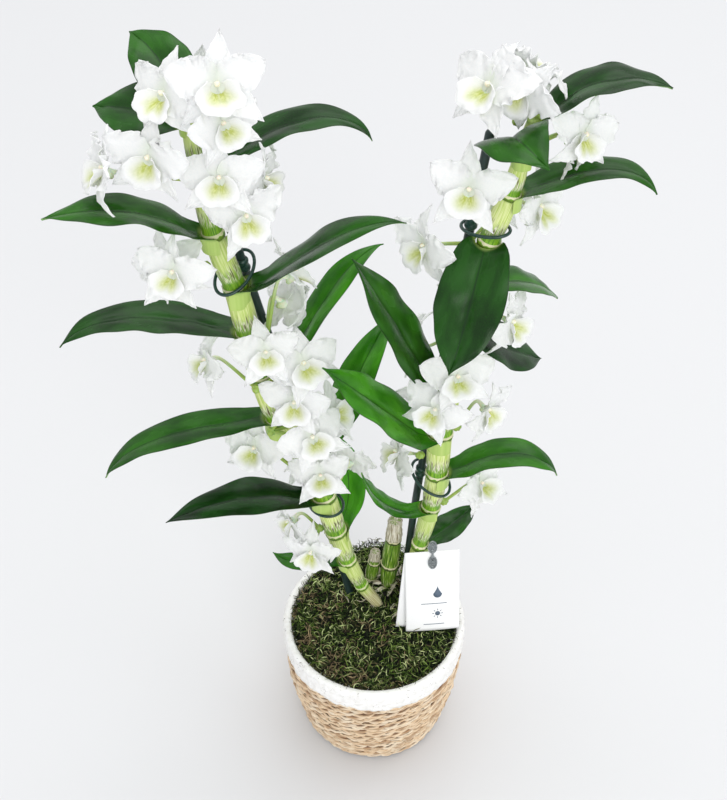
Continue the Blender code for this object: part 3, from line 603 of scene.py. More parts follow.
def white_band_look():
    """White paint, thick and chalky over the fibres, with specks that it missed."""
    look = Look("rim_paint", roughness=0.78)
    fine = look.noise((1, 1, 1), 1500, 3, 0.7)
    coarse = look.noise((1, 1, 1), 240, 3, 0.6)
    specks = look.noise((0.6, 0.6, 1.6), 1000, 1)
    colour = look.mix((coarse, 0.3, 0.7), (244, 243, 240), (253, 253, 252))
    gate = look.spread(look.noise((1, 1, 1), 110, 2), 0.50, 0.66)
    dark = look.math("MULTIPLY", look.spread(specks, 0.66, 0.72), gate)
    return look.coat(look.mix(dark, colour, (92, 88, 74)), look.math("ADD", fine, coarse), 0.0007, 0.7)


def moss_look():
    """Moss strands. Paint: a shade for the green, random and on the bed's strands painted lighter
    over the tops of the lumps, how brown the patch is, the run along the strand, which paints
    shade at its root, and a random number for the brown."""
    look = Look("moss_strand", roughness=0.75, specular_ior_level=0.25)
    odd, brown, run, other = look.paint()
    stops = ((0.0, (10, 18, 6)), (0.4, (50, 76, 24)), (0.7, (122, 152, 62)), (1.0, (232, 244, 176)))
    green = look.ramp(odd, stops)
    tan = look.mix(other, (56, 44, 26), (206, 182, 140))
    colour = look.mix(brown, green, tan)
    # painted shade: each strand darkens towards its root, down among the others
    colour = look.mix((run, 0.0, 0.7, 0.95, 0), colour, (8, 12, 5))
    look.set("Base Color", colour)
    return look.material


def moss_bed_look():
    """The matted moss and fibre under the strands, painted near black as the shade deep between them."""
    look = Look("moss_bed", roughness=0.95)
    clumps = look.noise((1, 1, 1), 420, 4, 0.7)
    # painted shade: the bed's colours are near black
    stops = ((0.35, (5, 6, 3)), (0.6, (16, 20, 9)), (0.8, (40, 40, 20)))
    return look.coat(look.ramp(clumps, stops), clumps, 0.002, 1.0)


def solid_look(name, dark, light, scale, roughness, distance, stretch=(1, 1, 1), **settings):
    """An even material with a fine mottle: plastic, wire, metal, paper or bark."""
    look = Look(name, roughness=roughness, **settings)
    mottle = look.noise(stretch, scale, 3, 0.6)
    look.set("Base Color", look.mix((mottle, 0.3, 0.7), dark, light))
    look.set("Roughness", look.spread(mottle, 0.3, 0.7, roughness - 0.06, roughness + 0.08))
    look.bump(mottle, distance, 0.6)
    return look.material


# ---- basket ------------------------------------------------------------------------------
def basket_outer(z):
    """Radius of the basket's outer side at a height."""
    share = z / BASKET_HEIGHT
    taper = BASKET_BASE_RADIUS + (BASKET_RIM_RADIUS - BASKET_BASE_RADIUS) * share
    return taper + BASKET_BULGE * np.sin(math.pi * share)


def twisted_course(piece, radius, height, seed, thick, tall, white):
    """One course of the weave: three seagrass strands twisted together, lying in a ring.
    radius and height are functions of the angle round the basket, and white, which says how
    far it is painted, of the height and the angle."""
    rng = np.random.default_rng(seed)
    mean = float(radius(np.zeros(1))[0])
    angle = full_turn(max(24, int(2 * math.pi * mean / 0.0014)))
    turns = max(1, round(2 * math.pi * mean / rng.uniform(0.026, 0.036)))
    start = rng.uniform(0, 6.28)
    length = np.append(angle, 2 * math.pi)[:, None] * mean
    spoke = about_axis(1, angle, 0)
    turn = full_turn(STRAND_SIDES)
    # painted shade on each strand's inner side and where it meets the strands above and below
    inner = 0.6 * smooth_step(0.1, -0.9, np.cos(turn))
    gap_shade = np.clip(inner + smooth_step(0.7, 1.0, np.abs(np.sin(turn))), 0, 1)
    for strand in range(3):
        phase = turns * angle + start + 2 * math.pi * strand / 3
        phase = phase + 0.5 * waves(angle * 5, 0, seed * 3 + strand)
        out = 0.25 * thick * np.cos(phase) * (1 + 0.12 * waves(angle * 9, 0, seed * 7 + strand))
        level = height(angle) + 0.24 * tall * np.sin(phase)
        centre = about_axis(radius(angle) + out, angle, level)
        twist = turn + 0.35 * phase[:, None]
        ridge = 1 + 0.10 * np.sin(3 * twist + rng.uniform(0, 6))
        ridge += 0.07 * np.sin(5 * twist + rng.uniform(0, 6))
        ridge += 0.10 * waves(angle[:, None] * 22, turn * 2, seed * 11 + strand)
        ridge *= 1 + 0.18 * waves(angle * 14, angle * 3, seed * 5 + strand)[:, None]
        across = (0.31 * thick * ridge * np.cos(turn))[..., None] * spoke[:, None]
        rise = (0.29 * tall * ridge * np.sin(turn))[..., None] * (0, 0, 1)
        odd, other = rng.uniform(0, 1, 2)
        patches = odd + 0.4 * waves(angle * 6, angle, seed + strand)
        bleach = other + 0.4 * waves(angle * 5, angle, seed + 31 + strand)
        patches, share, bleach = (closed(p)[:, None] for p in (patches, white(level, angle), bleach))
        grain = (0.0026 * np.cos(turn) + seed * 0.37 + strand * 0.11, 0.0026 * np.sin(turn), length)
        rings = closed(centre[:, None] + across + rise)
        piece.tube(rings, (patches, gap_shade, share, bleach), grain, caps=False)


def make_weave(seagrass):
    """The woven side and its base."""
    weave = Piece()
    pitch = (BASKET_HEIGHT - 0.0135) / COURSES
    thick = BASKET_WALL * 1.02
    rng = np.random.default_rng(5)
    for course in range(COURSES):
        z = FIRST_COURSE + pitch * course
        sway = rng.uniform(0, 6.28, 2)

        def height(angle):
            lift = 0.0006 * np.sin(2 * angle + sway[0]) + 0.0004 * np.sin(5 * angle + sway[1])
            return z + lift * min(1, z / 0.02)

        def radius(angle):
            return basket_outer(z) - thick / 2 + 0.0004 * waves(angle * 2, 0, 100 + course, low=1, high=3)

        def white(level, angle):
            return smooth_step(BAND_LOW - 0.001, BAND_LOW + 0.003, level + 0.002 * np.sin(7 * angle))

        twisted_course(weave, radius, height, 40 + course, thick, pitch * 1.06, white)
    for ring in range(BASE_RINGS):
        size = 0.0035 + ring * 0.0064
        twisted_course(weave, lambda angle: size + 0 * angle, lambda angle: 0.0033, 80 + ring,
                       0.0074, 0.0052, lambda level, angle: 0 * level)
    weave.build("basket_weave", [seagrass], ["basket"], "seagrass")


def make_band(white_paint):
    """The rim band that is painted white, over the uppermost courses and down inside."""
    angle = full_turn(BAND_STATIONS)[:, None]
    low = BAND_LOW + 0.0012 * waves(angle * 4, 0, 3) + 0.0008 * waves(angle * 11, 0, 4)
    wall, shoulder = BASKET_WALL, BASKET_HEIGHT - BAND_ROUND
    up, tip, down = np.linspace(0, 1, 11), np.linspace(0, math.pi, 9)[1:-1], np.linspace(0, 1, 7)
    depth = np.concatenate([0 * up, wall / 2 * (np.cos(tip) - 1), 0 * down - wall, [-wall / 2]])
    inside = np.concatenate([
        shoulder + BAND_ROUND * np.sin(tip), shoulder + (0.099 - shoulder) * down, [BAND_LOW],
    ])
    level = np.hstack([low + (shoulder - low) * up, np.tile(inside, (BAND_STATIONS, 1))])
    dip = -0.0007 * bell(level, 0.0012, 0.1092)
    lumps = 0.00045 * waves(angle * 26, level * 900, 12, 7) + 0.0005 * waves(angle * 7, level * 260, 9)
    lumps = lumps * smooth_step(-wall, -wall * 0.6, depth) + dip * (depth > -wall * 0.3)
    radius = basket_outer(np.minimum(level, BASKET_HEIGHT)) + depth + lumps + 0.0004
    rings = closed(about_axis(radius, angle, level))
    flat = rings.reshape(-1, 3)
    band = Piece()
    band.add(flat, [grid_faces(*rings.shape[:2], True)[:, ::-1]], np.zeros((len(flat), 4)), flat)
    band.build("basket_rim_band", [white_paint], [], "seagrass")


# ---- moss --------------------------------------------------------------------------------
def moss_height(x, y):
    """Height of the moss over a place in plan."""
    slope = smooth_step(-1, 1, y / MOSS_RADIUS)
    heap = MOSS_HEAP * slope * bell(x, MOSS_HEAP_WIDTH, MOSS_HEAP_X)
    return BASKET_HEIGHT - MOSS_FRONT_DROP + heap


def make_moss_bed(look):
    """A lumpy bed that falls away at the basket's wall."""
    share = np.linspace(0.02, 1, 70)[:, None]
    angle = full_turn(150)
    x, y = MOSS_RADIUS * share * np.cos(angle), MOSS_RADIUS * share * np.sin(angle)
    lumps = 0.0018 * waves(x * 260, y * 260, 1, 9) + 0.0006 * waves(x * 900, y * 900, 2, 9)
    z = moss_height(x, y) - 0.0012 + lumps - 0.006 * smooth_step(0.93, 1.0, share)
    top = np.stack([x, y, z], -1)
    bed = Piece()
    bed.plain_tube(np.vstack([top, top[-1:] * (1, 1, 0) + (0, 0, 0.1035)]))
    bed.build("moss_bed", [look], ["moss"], "moss")


def make_moss(look):
    """Thousands of curled strands matted over the bed."""
    count = MOSS_STRANDS
    radius = (MOSS_RADIUS - 0.0012) * np.sqrt(RANDOM.uniform(0, 1, count))
    angle = RANDOM.uniform(0, 2 * math.pi, count)
    x, y = radius * np.cos(angle), radius * np.sin(angle)
    lumps = waves(x * 260, y * 260, 1, 9)
    start = np.stack([x, y, moss_height(x, y) + 0.0018 * lumps - 0.0010], -1)
    patchy = waves(x * 70, y * 70, 6, 7) - 0.5 * x / MOSS_RADIUS - 0.3 * y / MOSS_RADIUS
    brown = smooth_step(0.55, 1.25, patchy + RANDOM.normal(0, 0.55, count))
    # the green's shade is random, with painted light: lighter on the tops of the lumps, darker in their
    # hollows
    shade = np.clip(RANDOM.normal(0.45, 0.30, count) + 0.20 * waves(x * 90, y * 90, 8) + 0.20 * lumps, 0, 1)
    shades = (shade, brown, RANDOM.uniform(0, 1, count))
    piece = Piece()
    add_strands(piece, start, (0.0050, 0.0120), (10, 75), (40, 200), 150, (0.00020, 0.00046), shades,
                MOSS_RADIUS + 0.0008)

    # wisps that climb the wall and lie over the painted rim
    count = MOSS_WISPS
    angle = RANDOM.uniform(0, 2 * math.pi, count)
    x, y = (MOSS_RADIUS - 0.0010) * np.cos(angle), (MOSS_RADIUS - 0.0010) * np.sin(angle)
    level = np.maximum(moss_height(x, y), BASKET_HEIGHT - RANDOM.uniform(0.0015, 0.0045, count))
    heading = np.degrees(angle) + RANDOM.normal(0, 60, count)
    shade = RANDOM.uniform(0, 0.6, count)
    shades = (shade, RANDOM.uniform(0, 0.6, count), shade)
    add_strands(piece, np.stack([x, y, level], -1), (0.0040, 0.0090), (20, 70), (50, 130), 110,
                (0.00016, 0.00034), shades, BASKET_RIM_RADIUS, heading)
    piece.build("moss_strands", [look], [], "moss")


def add_strands(piece, start, lengths, rises, droops, bends, widths, shades, reach, heading=None, slot=0):
    """Curled tapering strands, growing from rows of points and kept within a radius, each
    setting off on its heading or any way at all. Their paint is the three shades, with the
    run along the strand put in third."""
    count, steps, sides = len(start), 6, 3
    length = RANDOM.uniform(*lengths, count)
    if heading is None:
        heading = RANDOM.uniform(0, 360, count)
    rise = RANDOM.uniform(*rises, count)
    bend = RANDOM.normal(0, bends, count)
    droop = RANDOM.uniform(*droops, count)
    path, beside = [start], []
    for step in range(steps):
        t = (step + 0.5) / steps
        beside.append(direction(heading + bend * t + 90, 0))
        path.append(path[-1] + direction(heading + bend * t, rise - droop * t) * (length / steps)[:, None])
    path = np.stack(path, 1)
    first = np.stack([beside[0], *beside], 1)
    second = np.cross(unit(np.gradient(path, axis=1)), first)
    width = RANDOM.uniform(*widths, count)[:, None] * (0.7, 1, 1.1, 1.05, 0.95, 0.75, 0.3)
    turn = full_turn(sides)[:, None]
    spokes = np.cos(turn) * first[:, :, None] + 0.6 * np.sin(turn) * second[:, :, None]
    rings = path[:, :, None] + width[:, :, None, None] * spokes
    flat = np.linalg.norm(rings[..., :2], axis=-1, keepdims=True)
    rings[..., :2] *= np.minimum(1, np.reshape(reach, (-1, 1, 1, 1)) / np.maximum(flat, 1e-6))
    points = rings.reshape(-1, 3)
    per = (steps + 1) * sides
    ends = np.array([[2, 1, 0], [per - 3, per - 2, per - 1]])
    offset = (np.arange(count) * per)[:, None, None]
    shape = (count, steps + 1, sides)
    run = np.broadcast_to(np.linspace(0, 1, steps + 1)[None, :, None], shape)
    first, second, third = (np.broadcast_to(shade[:, None, None], shape) for shade in shades)
    paint = np.stack([first, second, run, third], -1).reshape(-1, 4)
    skin = (grid_faces(steps + 1, sides, True)[None] + offset).reshape(-1, 4)
    piece.add(points, [skin, (ends[None] + offset).reshape(-1, 3)], paint, points, slot)


def make_fuzz(white, dark, straw):
    """Frayed ends along the painted rim, and loose fibres standing off the weave."""
    piece = Piece()
    for slot, count, inner in ((0, RIM_FRAYS[0], 0.15), (1, RIM_FRAYS[1], 0.1)):
        angle = RANDOM.uniform(0, 2 * math.pi, count)
        depth = BASKET_WALL * np.clip(RANDOM.normal(0.85, 0.3, count), inner, 1.0)
        height = BASKET_HEIGHT - 0.0006 - 0.0025 * smooth_step(0.6, 1.0, depth / BASKET_WALL)
        start = about_axis(basket_outer(BASKET_HEIGHT) - depth, angle, height)
        add_strands(piece, start, (0.0012, 0.0034), (-10, 20), (0, 50), 60, (0.00012, 0.00026),
                    np.zeros((3, count)), BASKET_RIM_RADIUS, slot=slot)
    for slot, count, spread, longest, sunk in (
        (1, WEAVE_FRAYS[0], 9, 0.0085, 0.0011), (2, WEAVE_FRAYS[1], 16, 0.0110, 0.0006),
    ):
        angle, height = RANDOM.uniform(0, 2 * math.pi, count), RANDOM.uniform(0.003, 0.100, count)
        radius = basket_outer(height) - sunk
        heading = np.degrees(angle) + 90 + RANDOM.normal(0, 6, count)
        add_strands(piece, about_axis(radius, angle, height), (0.0030, longest), (-spread, spread),
                    (-5, 5), 8, (0.00016, 0.00034), np.zeros((3, count)), radius + 0.0007, heading, slot)
    piece.build("basket_fuzz", [white, dark, straw], [], "seagrass")


# ---- canes and leaves --------------------------------------------------------------------
def stem_rows(name):
    """x, y, z and radius from a stem's foot up through its nodes."""
    y, rows = STEMS[name]
    x, _, radius = rows[0]
    points = [(x, y, STEM_FOOT + radius / 2, radius)]
    return np.array(points + [(x, y, BASKET_HEIGHT + rise, radius) for x, rise, radius in rows])


def node_of(cane, place):
    """Middle of a cane at a node, or part of the way to the next, and its radius there."""
    rows = stem_rows("cane_" + cane)
    whole = int(place)
    low, high = rows[whole + 1], rows[min(whole + 2, len(rows) - 1)]
    row = low + (high - low) * (place - whole)
    return row[:3], row[3] + NODE_SWELL


def make_sheaths(name):
    """A stem of overlapping sheaths, each with a ring at its foot and a thin dry rim."""
    rng = np.random.default_rng(len(name) * 7 + 3)
    path = smooth_path(stem_rows(name), SPAN_STEPS)
    spokes = ring_spokes(*path_frames(path[:, :3], (0, -1, 0)), STEM_SIDES)
    turn = full_turn(STEM_SIDES)
    length = along(path[:, :3])
    piece = Piece()
    for span in range(len(path) // SPAN_STEPS):
        low, high = max(0, span * SPAN_STEPS - 1), min(len(path) - 1, (span + 1) * SPAN_STEPS + 2)
        rows = np.arange(low, high + 1)
        t = (rows / SPAN_STEPS - span)[:, None]
        middle = np.sin(math.pi * np.clip(t, 0, 1))
        ribs = 0.00011 * np.sin(turn * 13 + rng.uniform(0, 6))
        ribs = ribs + 0.00007 * np.sin(turn * 21 + rng.uniform(0, 6))
        swell = NODE_SWELL * bell(t, 0.055) - 0.0005 * bell(t, 0.09, 0.16)
        lip = 0.0006 * smooth_step(0.93, 1.06, t) * (1 + 0.5 * waves(turn * 3, turn, span + 9))
        radius = path[rows, 3:4] + swell + lip + (0.0004 + ribs) * middle
        rings = path[rows, None, :3] + radius[..., None] * spokes[rows]
        aged = span < 1 + (name == "cane_left")
        paint = (
            np.clip(t, 0, 1), rng.uniform(0, 1), aged * smooth_step(1.0, 0.6, t * span),
            smooth_step(0.99, 1.03, t),
        )
        grain = (0.008 * np.cos(turn) + span * 0.05, 0.008 * np.sin(turn), length[rows, None])
        piece.tube(rings, paint, grain)
    return piece


def make_canes(look):
    """The two living canes."""
    for name in ("cane_left", "cane_right"):
        make_sheaths(name).build(name + "_sheaths", [look], [name], "cane")


def make_old_canes(look, paper):
    """The cut back-bulbs: shrivelled green joints in torn papery sheaths."""
    for name, start in (("old_cane", 62), ("old_bulb", 47)):
        piece = make_sheaths(name)
        path = smooth_path(stem_rows(name), OLD_STEPS)[start:]
        t = np.linspace(0, 1, len(path))[:, None]
        turn = full_turn(40)
        ragged = 0.0012 * waves(turn * 3, turn * 2, 5)
        radius = path[:, 3:4] + 0.0009 + 0.0005 * waves(turn * 4, t * 5, 6) + 0.0007 * t ** 3
        rings = rings_about(path[:, :3], radius, len(turn))
        rings[..., 2] += ragged * (t ** 4 - 0.8 * (1 - t) ** 4)
        grain = (0.007 * np.cos(turn), 0.007 * np.sin(turn), along(path[:, :3])[:, None])
        piece.tube(rings, (t, 0.5, 0, 0), grain, 1)
        piece.build(name + "_joints", [look, paper], [name], "old_cane")


def make_leaf(name, cane, row, look, seed):
    """A folded, veined blade whose foot clasps the cane."""
    node, azimuth, rise, droop, turn, late, roll, length, width = row
    centre, radius = node_of(cane, node)
    standoff = 0.0008 + 0.0022 * abs(math.sin(math.radians(rise)))
    s = np.concatenate([np.linspace(-0.11, -0.02, 5), np.linspace(0, 1, 41) ** 0.95])
    u = np.linspace(-1, 1, 17)
    off = np.abs(u)

    # the midrib, and at each station the way ahead, the way across and up
    fine = np.linspace(0, 1, 121)
    middle = (fine[1:] + fine[:-1]) / 2
    headings = direction(azimuth + turn * middle, rise - droop * middle ** late)
    base = centre + (radius + standoff) * direction(azimuth, 0)
    spine = np.vstack([base, base + np.cumsum(headings * length / len(middle), axis=0)])
    share = np.clip(s, 0, 1)
    point = np.stack([np.interp(share, fine, spine[:, axis]) for axis in range(3)], -1)
    bearing = azimuth + turn * share
    ahead = direction(bearing, rise - droop * share ** late)
    level = direction(bearing - 90, 0)
    across, up = turned_pair(level, np.cross(level, ahead), roll + 7 * waves(share * 5, 0, seed) * share)

    # half the width, and how far each point lifts from the flat
    blade = np.sqrt(np.clip(np.sin(math.pi * share ** 0.75), 0, 1)) * (1 - share ** 8)
    half = width * 0.5 * np.maximum(blade, 0.2 * (1 - share))
    half = np.maximum(half * (1 + 0.015 * waves(share * 9, 0, seed + 50)), 0.00025)[:, None]
    share = share[:, None]
    fold = 0.42 - 0.12 * share
    lift = half * (fold * off - 0.26 * u * u)
    lift = lift + 0.022 * width * off ** 3 * waves(share * 7, u * 2, seed + 90)
    lift = lift + 0.006 * width * waves(share * 10, u * 3, seed + 70) * (1 - 0.5 * off)
    lift = lift - 0.0005 * bell(u, 0.07) * smooth_step(0.02, 0.15, share)
    flat = half * u * (1 - 0.10 * off * fold)
    sheet = point[:, None] + flat[..., None] * across[:, None] + lift[..., None] * up[:, None]
    if name == NOTCHED_LEAF:
        notch = 0.14 * length * off ** 1.5 * smooth_step(0.45, 0.0, share)
        sheet = sheet - notch[..., None] * ahead[:, None]

    # the foot, wrapped about the cane
    rises = centre[2] + (np.where(s < 0, 0.9, 0.55) * s * length)[:, None]
    clasp = about_axis(radius + 0.0007 + 0.0004 * off, np.radians(azimuth - 95 * u), rises)
    clasp = clasp + (*centre[:2], 0)
    weight = smooth_step(0.0, 0.11, s)[:, None, None]
    thick = 0.0005 + 0.0009 * bell(u, 0.10) * (1 - share)
    thick[[0, -1]] = 0.00025
    # painted backlight on the listed leaves, a little random tone on the rest
    shade = LEAF_PAINTED_BACKLIGHT.get(name, 0.05 + 0.35 * (seed * 37 % 10) / 10)
    grain = (half * u + seed * 0.31, 0.003 * off, share * length)
    piece = Piece()
    piece.shell(clasp * (1 - weight) + sheet * weight, thick, (share, off, shade), grain)
    piece.build(name + "_blade", [look], [name], "leaf", flat_angle=70)


# ---- flowers -----------------------------------------------------------------------------
# angle on the face, reach, half width, and 1 for a pointed sepal or 0 for a broad petal
PETALS = (
    (20, 1.10, 0.43, 0), (160, 1.10, 0.43, 0), (90, 1.10, 0.275, 1), (-48, 1.08, 0.28, 1),
    (228, 1.08, 0.28, 1),
)
# x, y, z and radius along the column and the spur
COLUMN = ((0, 0.04, 0.02, 0.050), (0, 0.06, 0.09, 0.060), (0, 0.05, 0.16, 0.055), (0, 0.03, 0.190, 0.02))
SPUR = ((0, -0.02, 0.03, 0.13), (0, -0.08, -0.08, 0.11), (0, -0.15, -0.17, 0.05))
# distance from the middle and height of the lip, from its throat out to its rim
LIP = ((0.10, 0.00), (0.15, 0.14), (0.27, 0.30), (0.39, 0.41), (0.47, 0.41))


def petal_sheet(angle, reach, broad, pointed, rng):
    """One petal or sepal in flower radii: x right, y up and z the way the flower faces."""
    v = np.linspace(0, 1, 22)[:, None]
    u = np.linspace(-1, 1, 13)
    shape = np.clip(np.sin(math.pi * v ** 0.72), 0, 1) ** (0.62 + 0.26 * pointed)
    shape = shape * (1 - 0.28 * pointed * v ** 3)
    half = np.maximum(broad * shape, 0.055 * (1 - v) + 0.004)
    bend = rng.uniform(-0.10, 0.42)
    tip = rng.uniform(-0.45, 0.10)
    z = 0.04 + bend * v + (tip - bend * 0.5) * v ** 3
    z = z + rng.uniform(-0.10, 0.30) * half * u * u - 0.0125 * bell(u, 0.18) * (1 - v)
    seed = int(rng.integers(1, 9999))
    ruffle = 0.15 * (1 - 0.6 * pointed)
    z = z + ruffle * np.abs(u) ** 2.2 * waves(v * 9, u * 2.5, seed) * np.sin(math.pi * v)
    z = z + 0.03 * waves(v * 5, u * 3, seed + 1) * v
    sway = rng.uniform(-0.10, 0.10)
    side = half * u * (1 + 0.05 * waves(v * 12, 0, seed + 2)) + sway * v * v
    run = reach * (v - 0.02 * u * u)
    twist = math.radians(rng.uniform(-16, 16)) * v
    z, side = z + side * np.sin(twist), side * np.cos(twist)
    a = math.radians(angle)
    x = run * math.cos(a) - side * math.sin(a)
    y = run * math.sin(a) + side * math.cos(a)
    return np.stack([x, y, z], -1), v, u, half


def lip_sheet(rng):
    """The lip: a flaring bowl, open at the top, with a scalloped rim that curls back."""
    v = np.linspace(0, 1, 20)[:, None]
    turn = np.radians(np.linspace(-232, 52, 41))
    profile = smooth_path(LIP, 8)
    place = np.linspace(0, 1, len(profile))
    seed = int(rng.integers(1, 9999))
    wave = waves(turn * 4, v * 0, seed, low=1, high=2.2)
    notch = 1 - 0.10 * bell(turn, 0.22, -math.pi / 2)
    reach = v * (1 - 0.42 * smooth_step(-0.35, 0.75, np.sin(turn))) * (1 + 0.07 * wave)
    reach = np.clip(reach * notch, 0, 1)
    radius = np.interp(reach, place, profile[:, 0]) * (1 + 0.05 * wave * v * v)
    z = np.interp(reach, place, profile[:, 1])
    z = z + 0.035 * v ** 3 * waves(turn * 7, v, seed + 1, low=1, high=2)
    x = 1.08 * radius * np.cos(turn)
    y = radius * np.sin(turn) * (1 - 0.12 * v) + 0.02 - 0.20 * reach
    return np.stack([x, y, z], -1), v, turn


def make_flower(piece, centre, azimuth, elevation, roll, span, foot, rng):
    """Five petals and sepals, a lip, a column, and a stalk that bends to the cluster's foot."""
    face = direction(azimuth, elevation)
    level = unit(np.cross((0.0, 0.0, 1.0), face))
    right, up = turned_pair(level, np.cross(face, level), np.float64(roll))
    axes = np.stack([right, up, face]) * span / 2

    def at(points):
        return centre + np.asarray(points, float) @ axes

    drift = rng.uniform(0, 3)
    for number, (angle, reach, broad, pointed) in enumerate(PETALS):
        angle += rng.uniform(-9, 9)
        reach, broad = reach * rng.uniform(0.95, 1.02), broad * rng.uniform(0.92, 1.08)
        sheet, v, u, half = petal_sheet(angle, reach, broad, pointed, rng)
        if not pointed:
            sheet[..., 2] += 0.035
        thick = 0.00042 + 0.0004 * bell(u, 0.2) * (1 - v)
        piece.shell(at(sheet), thick, (v, np.abs(u), 0), (half * u * 0.025 + drift, number * 0.1, v * 0.025))
    sheet, v, turn = lip_sheet(rng)
    throat = 0.95 * bell(np.abs(turn + math.pi / 2), 0.75, 0.4)
    throat = throat * smooth_step(0.02, 0.12, v) * smooth_step(0.78, 0.28, v)
    piece.shell(at(sheet), 0.00042, (0.4 + 0.6 * v, 0, throat), (turn * 0.010 + drift, 0, v * 0.02))

    for rows, sides, slot, shade, fade in ((COLUMN, 12, 1, 0, 1), (SPUR, 14, 2, 0.9, -0.5)):
        path = smooth_path(rows, 4)
        run = np.linspace(0, 1, len(path))[:, None]
        rings = rings_about(at(path[:, :3]), path[:, 3] * span / 2, sides, up)
        piece.tube(rings, (shade + fade * run, 0, 0, 0), (0.1 * run, drift, 0), slot)
    bend = at((0, 0, -0.4))
    root = foot + 0.4 * KNOB_RADIUS * unit(bend - foot)
    path = smooth_path((at((0, 0, -0.02)), bend, root), 10)
    run = np.linspace(1, 0, len(path))[:, None]
    radii = np.interp(1 - run[:, 0], (0, 0.25, 0.5, 1), (0.0022, 0.0017, 0.0012, 0.0013))
    grain = (0.001 * run, drift, along(path)[:, None])
    piece.tube(rings_about(path, radii, 12, up), (run, 0, 0, 0), grain, 2)


def make_cluster(name, cane, row, looks, seed):
    """The knob at a cluster's foot, and its flowers."""
    node, foot_azimuth, *flowers = row
    centre, radius = node_of(cane, node)
    out = direction(foot_azimuth, 0)
    foot = centre + (radius + KNOB_GAP + KNOB_RADIUS) * out
    rng = np.random.default_rng(seed)
    piece = Piece()
    reach = np.linspace(-1, 1, 11)
    size = 0.0030 * np.sqrt(1 - 0.92 * reach ** 2) * (1 + 0.12 * np.sin(reach * 9))
    rings = rings_about(foot + 0.0036 * reach[:, None] * out, size, 16, (0, 0, 1))
    piece.plain_tube(rings, 2, paint=(0.15, 0, 0, 0))
    for x, y, z, azimuth, elevation, roll, span in flowers:
        place = centre + np.array([x, y, z]) / 1000
        make_flower(piece, place, azimuth, elevation, roll, span / 1000, foot, rng)
    piece.build(name + "_blooms", looks, [name], "petal", flat_angle=60)


# ---- stakes, clips and card --------------------------------------------------------------
def stake_path(side):
    """Middle of a stake, from its foot just over the pot's floor to its tip."""
    y, rows = STAKES[side]
    (x0, low), (x1, high) = rows[:2]
    slope = (x1 - x0) / (high - low)
    foot = 0.0080 + STAKE_RADIUS * abs(slope)
    points = [(x0 + slope * (foot - BASKET_HEIGHT - low), y, foot)]
    return smooth_path(points + [(x, y, BASKET_HEIGHT + rise) for x, rise in rows], 12)


def make_stakes(look):
    """The stakes, each rounded off at its tip."""
    for side in STAKES:
        path = stake_path(side)
        crown = path[-1] + unit(path[-1] - path[-2]) * STAKE_RADIUS * np.array([[0.35], [0.65], [0.85]])
        path = np.vstack([path, crown])
        radii = np.full(len(path), STAKE_RADIUS)
        radii[-4:] *= (1.0, 0.93, 0.75, 0.45)
        piece = Piece()
        piece.plain_tube(rings_about(path, radii, 24))
        piece.build(f"stake_{side}_rod", [look], [f"stake_{side}"], "stake")


def at_height(path, z):
    """The row of a path at a height."""
    return np.array([np.interp(z, path[:, 2], path[:, axis]) for axis in range(path.shape[1])])


def wire_loop(middle, long_way, short_way, up, wire, stations, sides):
    """Rings of wire about an oval given by its two half axes, and the axis across it."""
    turn = np.linspace(0, 2 * math.pi, stations)[:, None]
    centre = middle + np.cos(turn) * long_way + np.sin(turn) * short_way
    outward = np.cos(turn) * long_way / long_way.dot(long_way)
    outward = unit(outward + np.sin(turn) * short_way / short_way.dot(short_way))
    return centre[:, None] + wire * ring_spokes(outward, up, sides)


def make_clip(name, row, look):
    """A loop of wire round cane and stake, with the small sleeve that grips the stake."""
    side, node, clear, tilt = row
    z = node_of(side, node)[0][2] + clear + math.copysign(KNOB_RADIUS + CLIP_WIRE, clear)
    cane = at_height(smooth_path(stem_rows("cane_" + side), 3), z)
    path = stake_path(side)
    stake = at_height(path, z)
    across = stake - cane[:3]
    distance = np.linalg.norm(across)
    across = across / distance
    near = cane[3] + NODE_SWELL + 0.0008 + CLIP_WIRE
    far = STAKE_RADIUS + 0.0008 + CLIP_WIRE
    middle = cane[:3] + across * (distance + far - near) / 2
    half_length = (distance + near + far) / 2 * 1.08 / math.cos(math.radians(tilt))
    ahead, up = turned_pair(across, np.array([0.0, 0.0, 1.0]), np.float64(tilt))
    beside = near * 1.12 * np.cross(up, ahead)
    piece = Piece()
    piece.plain_tube(wire_loop(middle, half_length * ahead, beside, up, CLIP_WIRE, 97, 12), caps=False)
    post = unit(path[-1] - path[-20])
    sleeve = stake + post * np.linspace(-0.0045, 0.0045, 9)[:, None]
    radii = STAKE_RADIUS + 0.0006 + 0.0006 * np.array([0, 1, 1, 0.3, 0, 0.3, 1, 1, 0])
    piece.plain_tube(rings_about(sleeve, radii, 24))
    piece.build(name + "_wire", [look], [name], "clip")


# the card: its size and how far its top leans back, its foot on the moss, and its own axes
CARD_WIDTH = 0.044
CARD_HEIGHT = 0.074
CARD_LEAN = 0.0245
CARD_TURN = math.radians(5)
CARD_FOOT = np.array([0.048, -0.0155, BASKET_HEIGHT + 0.004])
CARD_ACROSS = np.array([math.cos(CARD_TURN), math.sin(CARD_TURN), 0])
CARD_BEHIND = np.cross((0, 0, 1), CARD_ACROSS)
CARD_SLANT = CARD_LEAN / CARD_HEIGHT
CARD_UP = CARD_BEHIND * CARD_SLANT + np.array([0, 0, math.sqrt(1 - CARD_SLANT ** 2)])
CARD_FORWARD = np.cross(CARD_ACROSS, CARD_UP)
SUN_PLACE, DROP_PLACE = (0.004, 0.0165), (0.004, 0.0355)  # across the card and up it


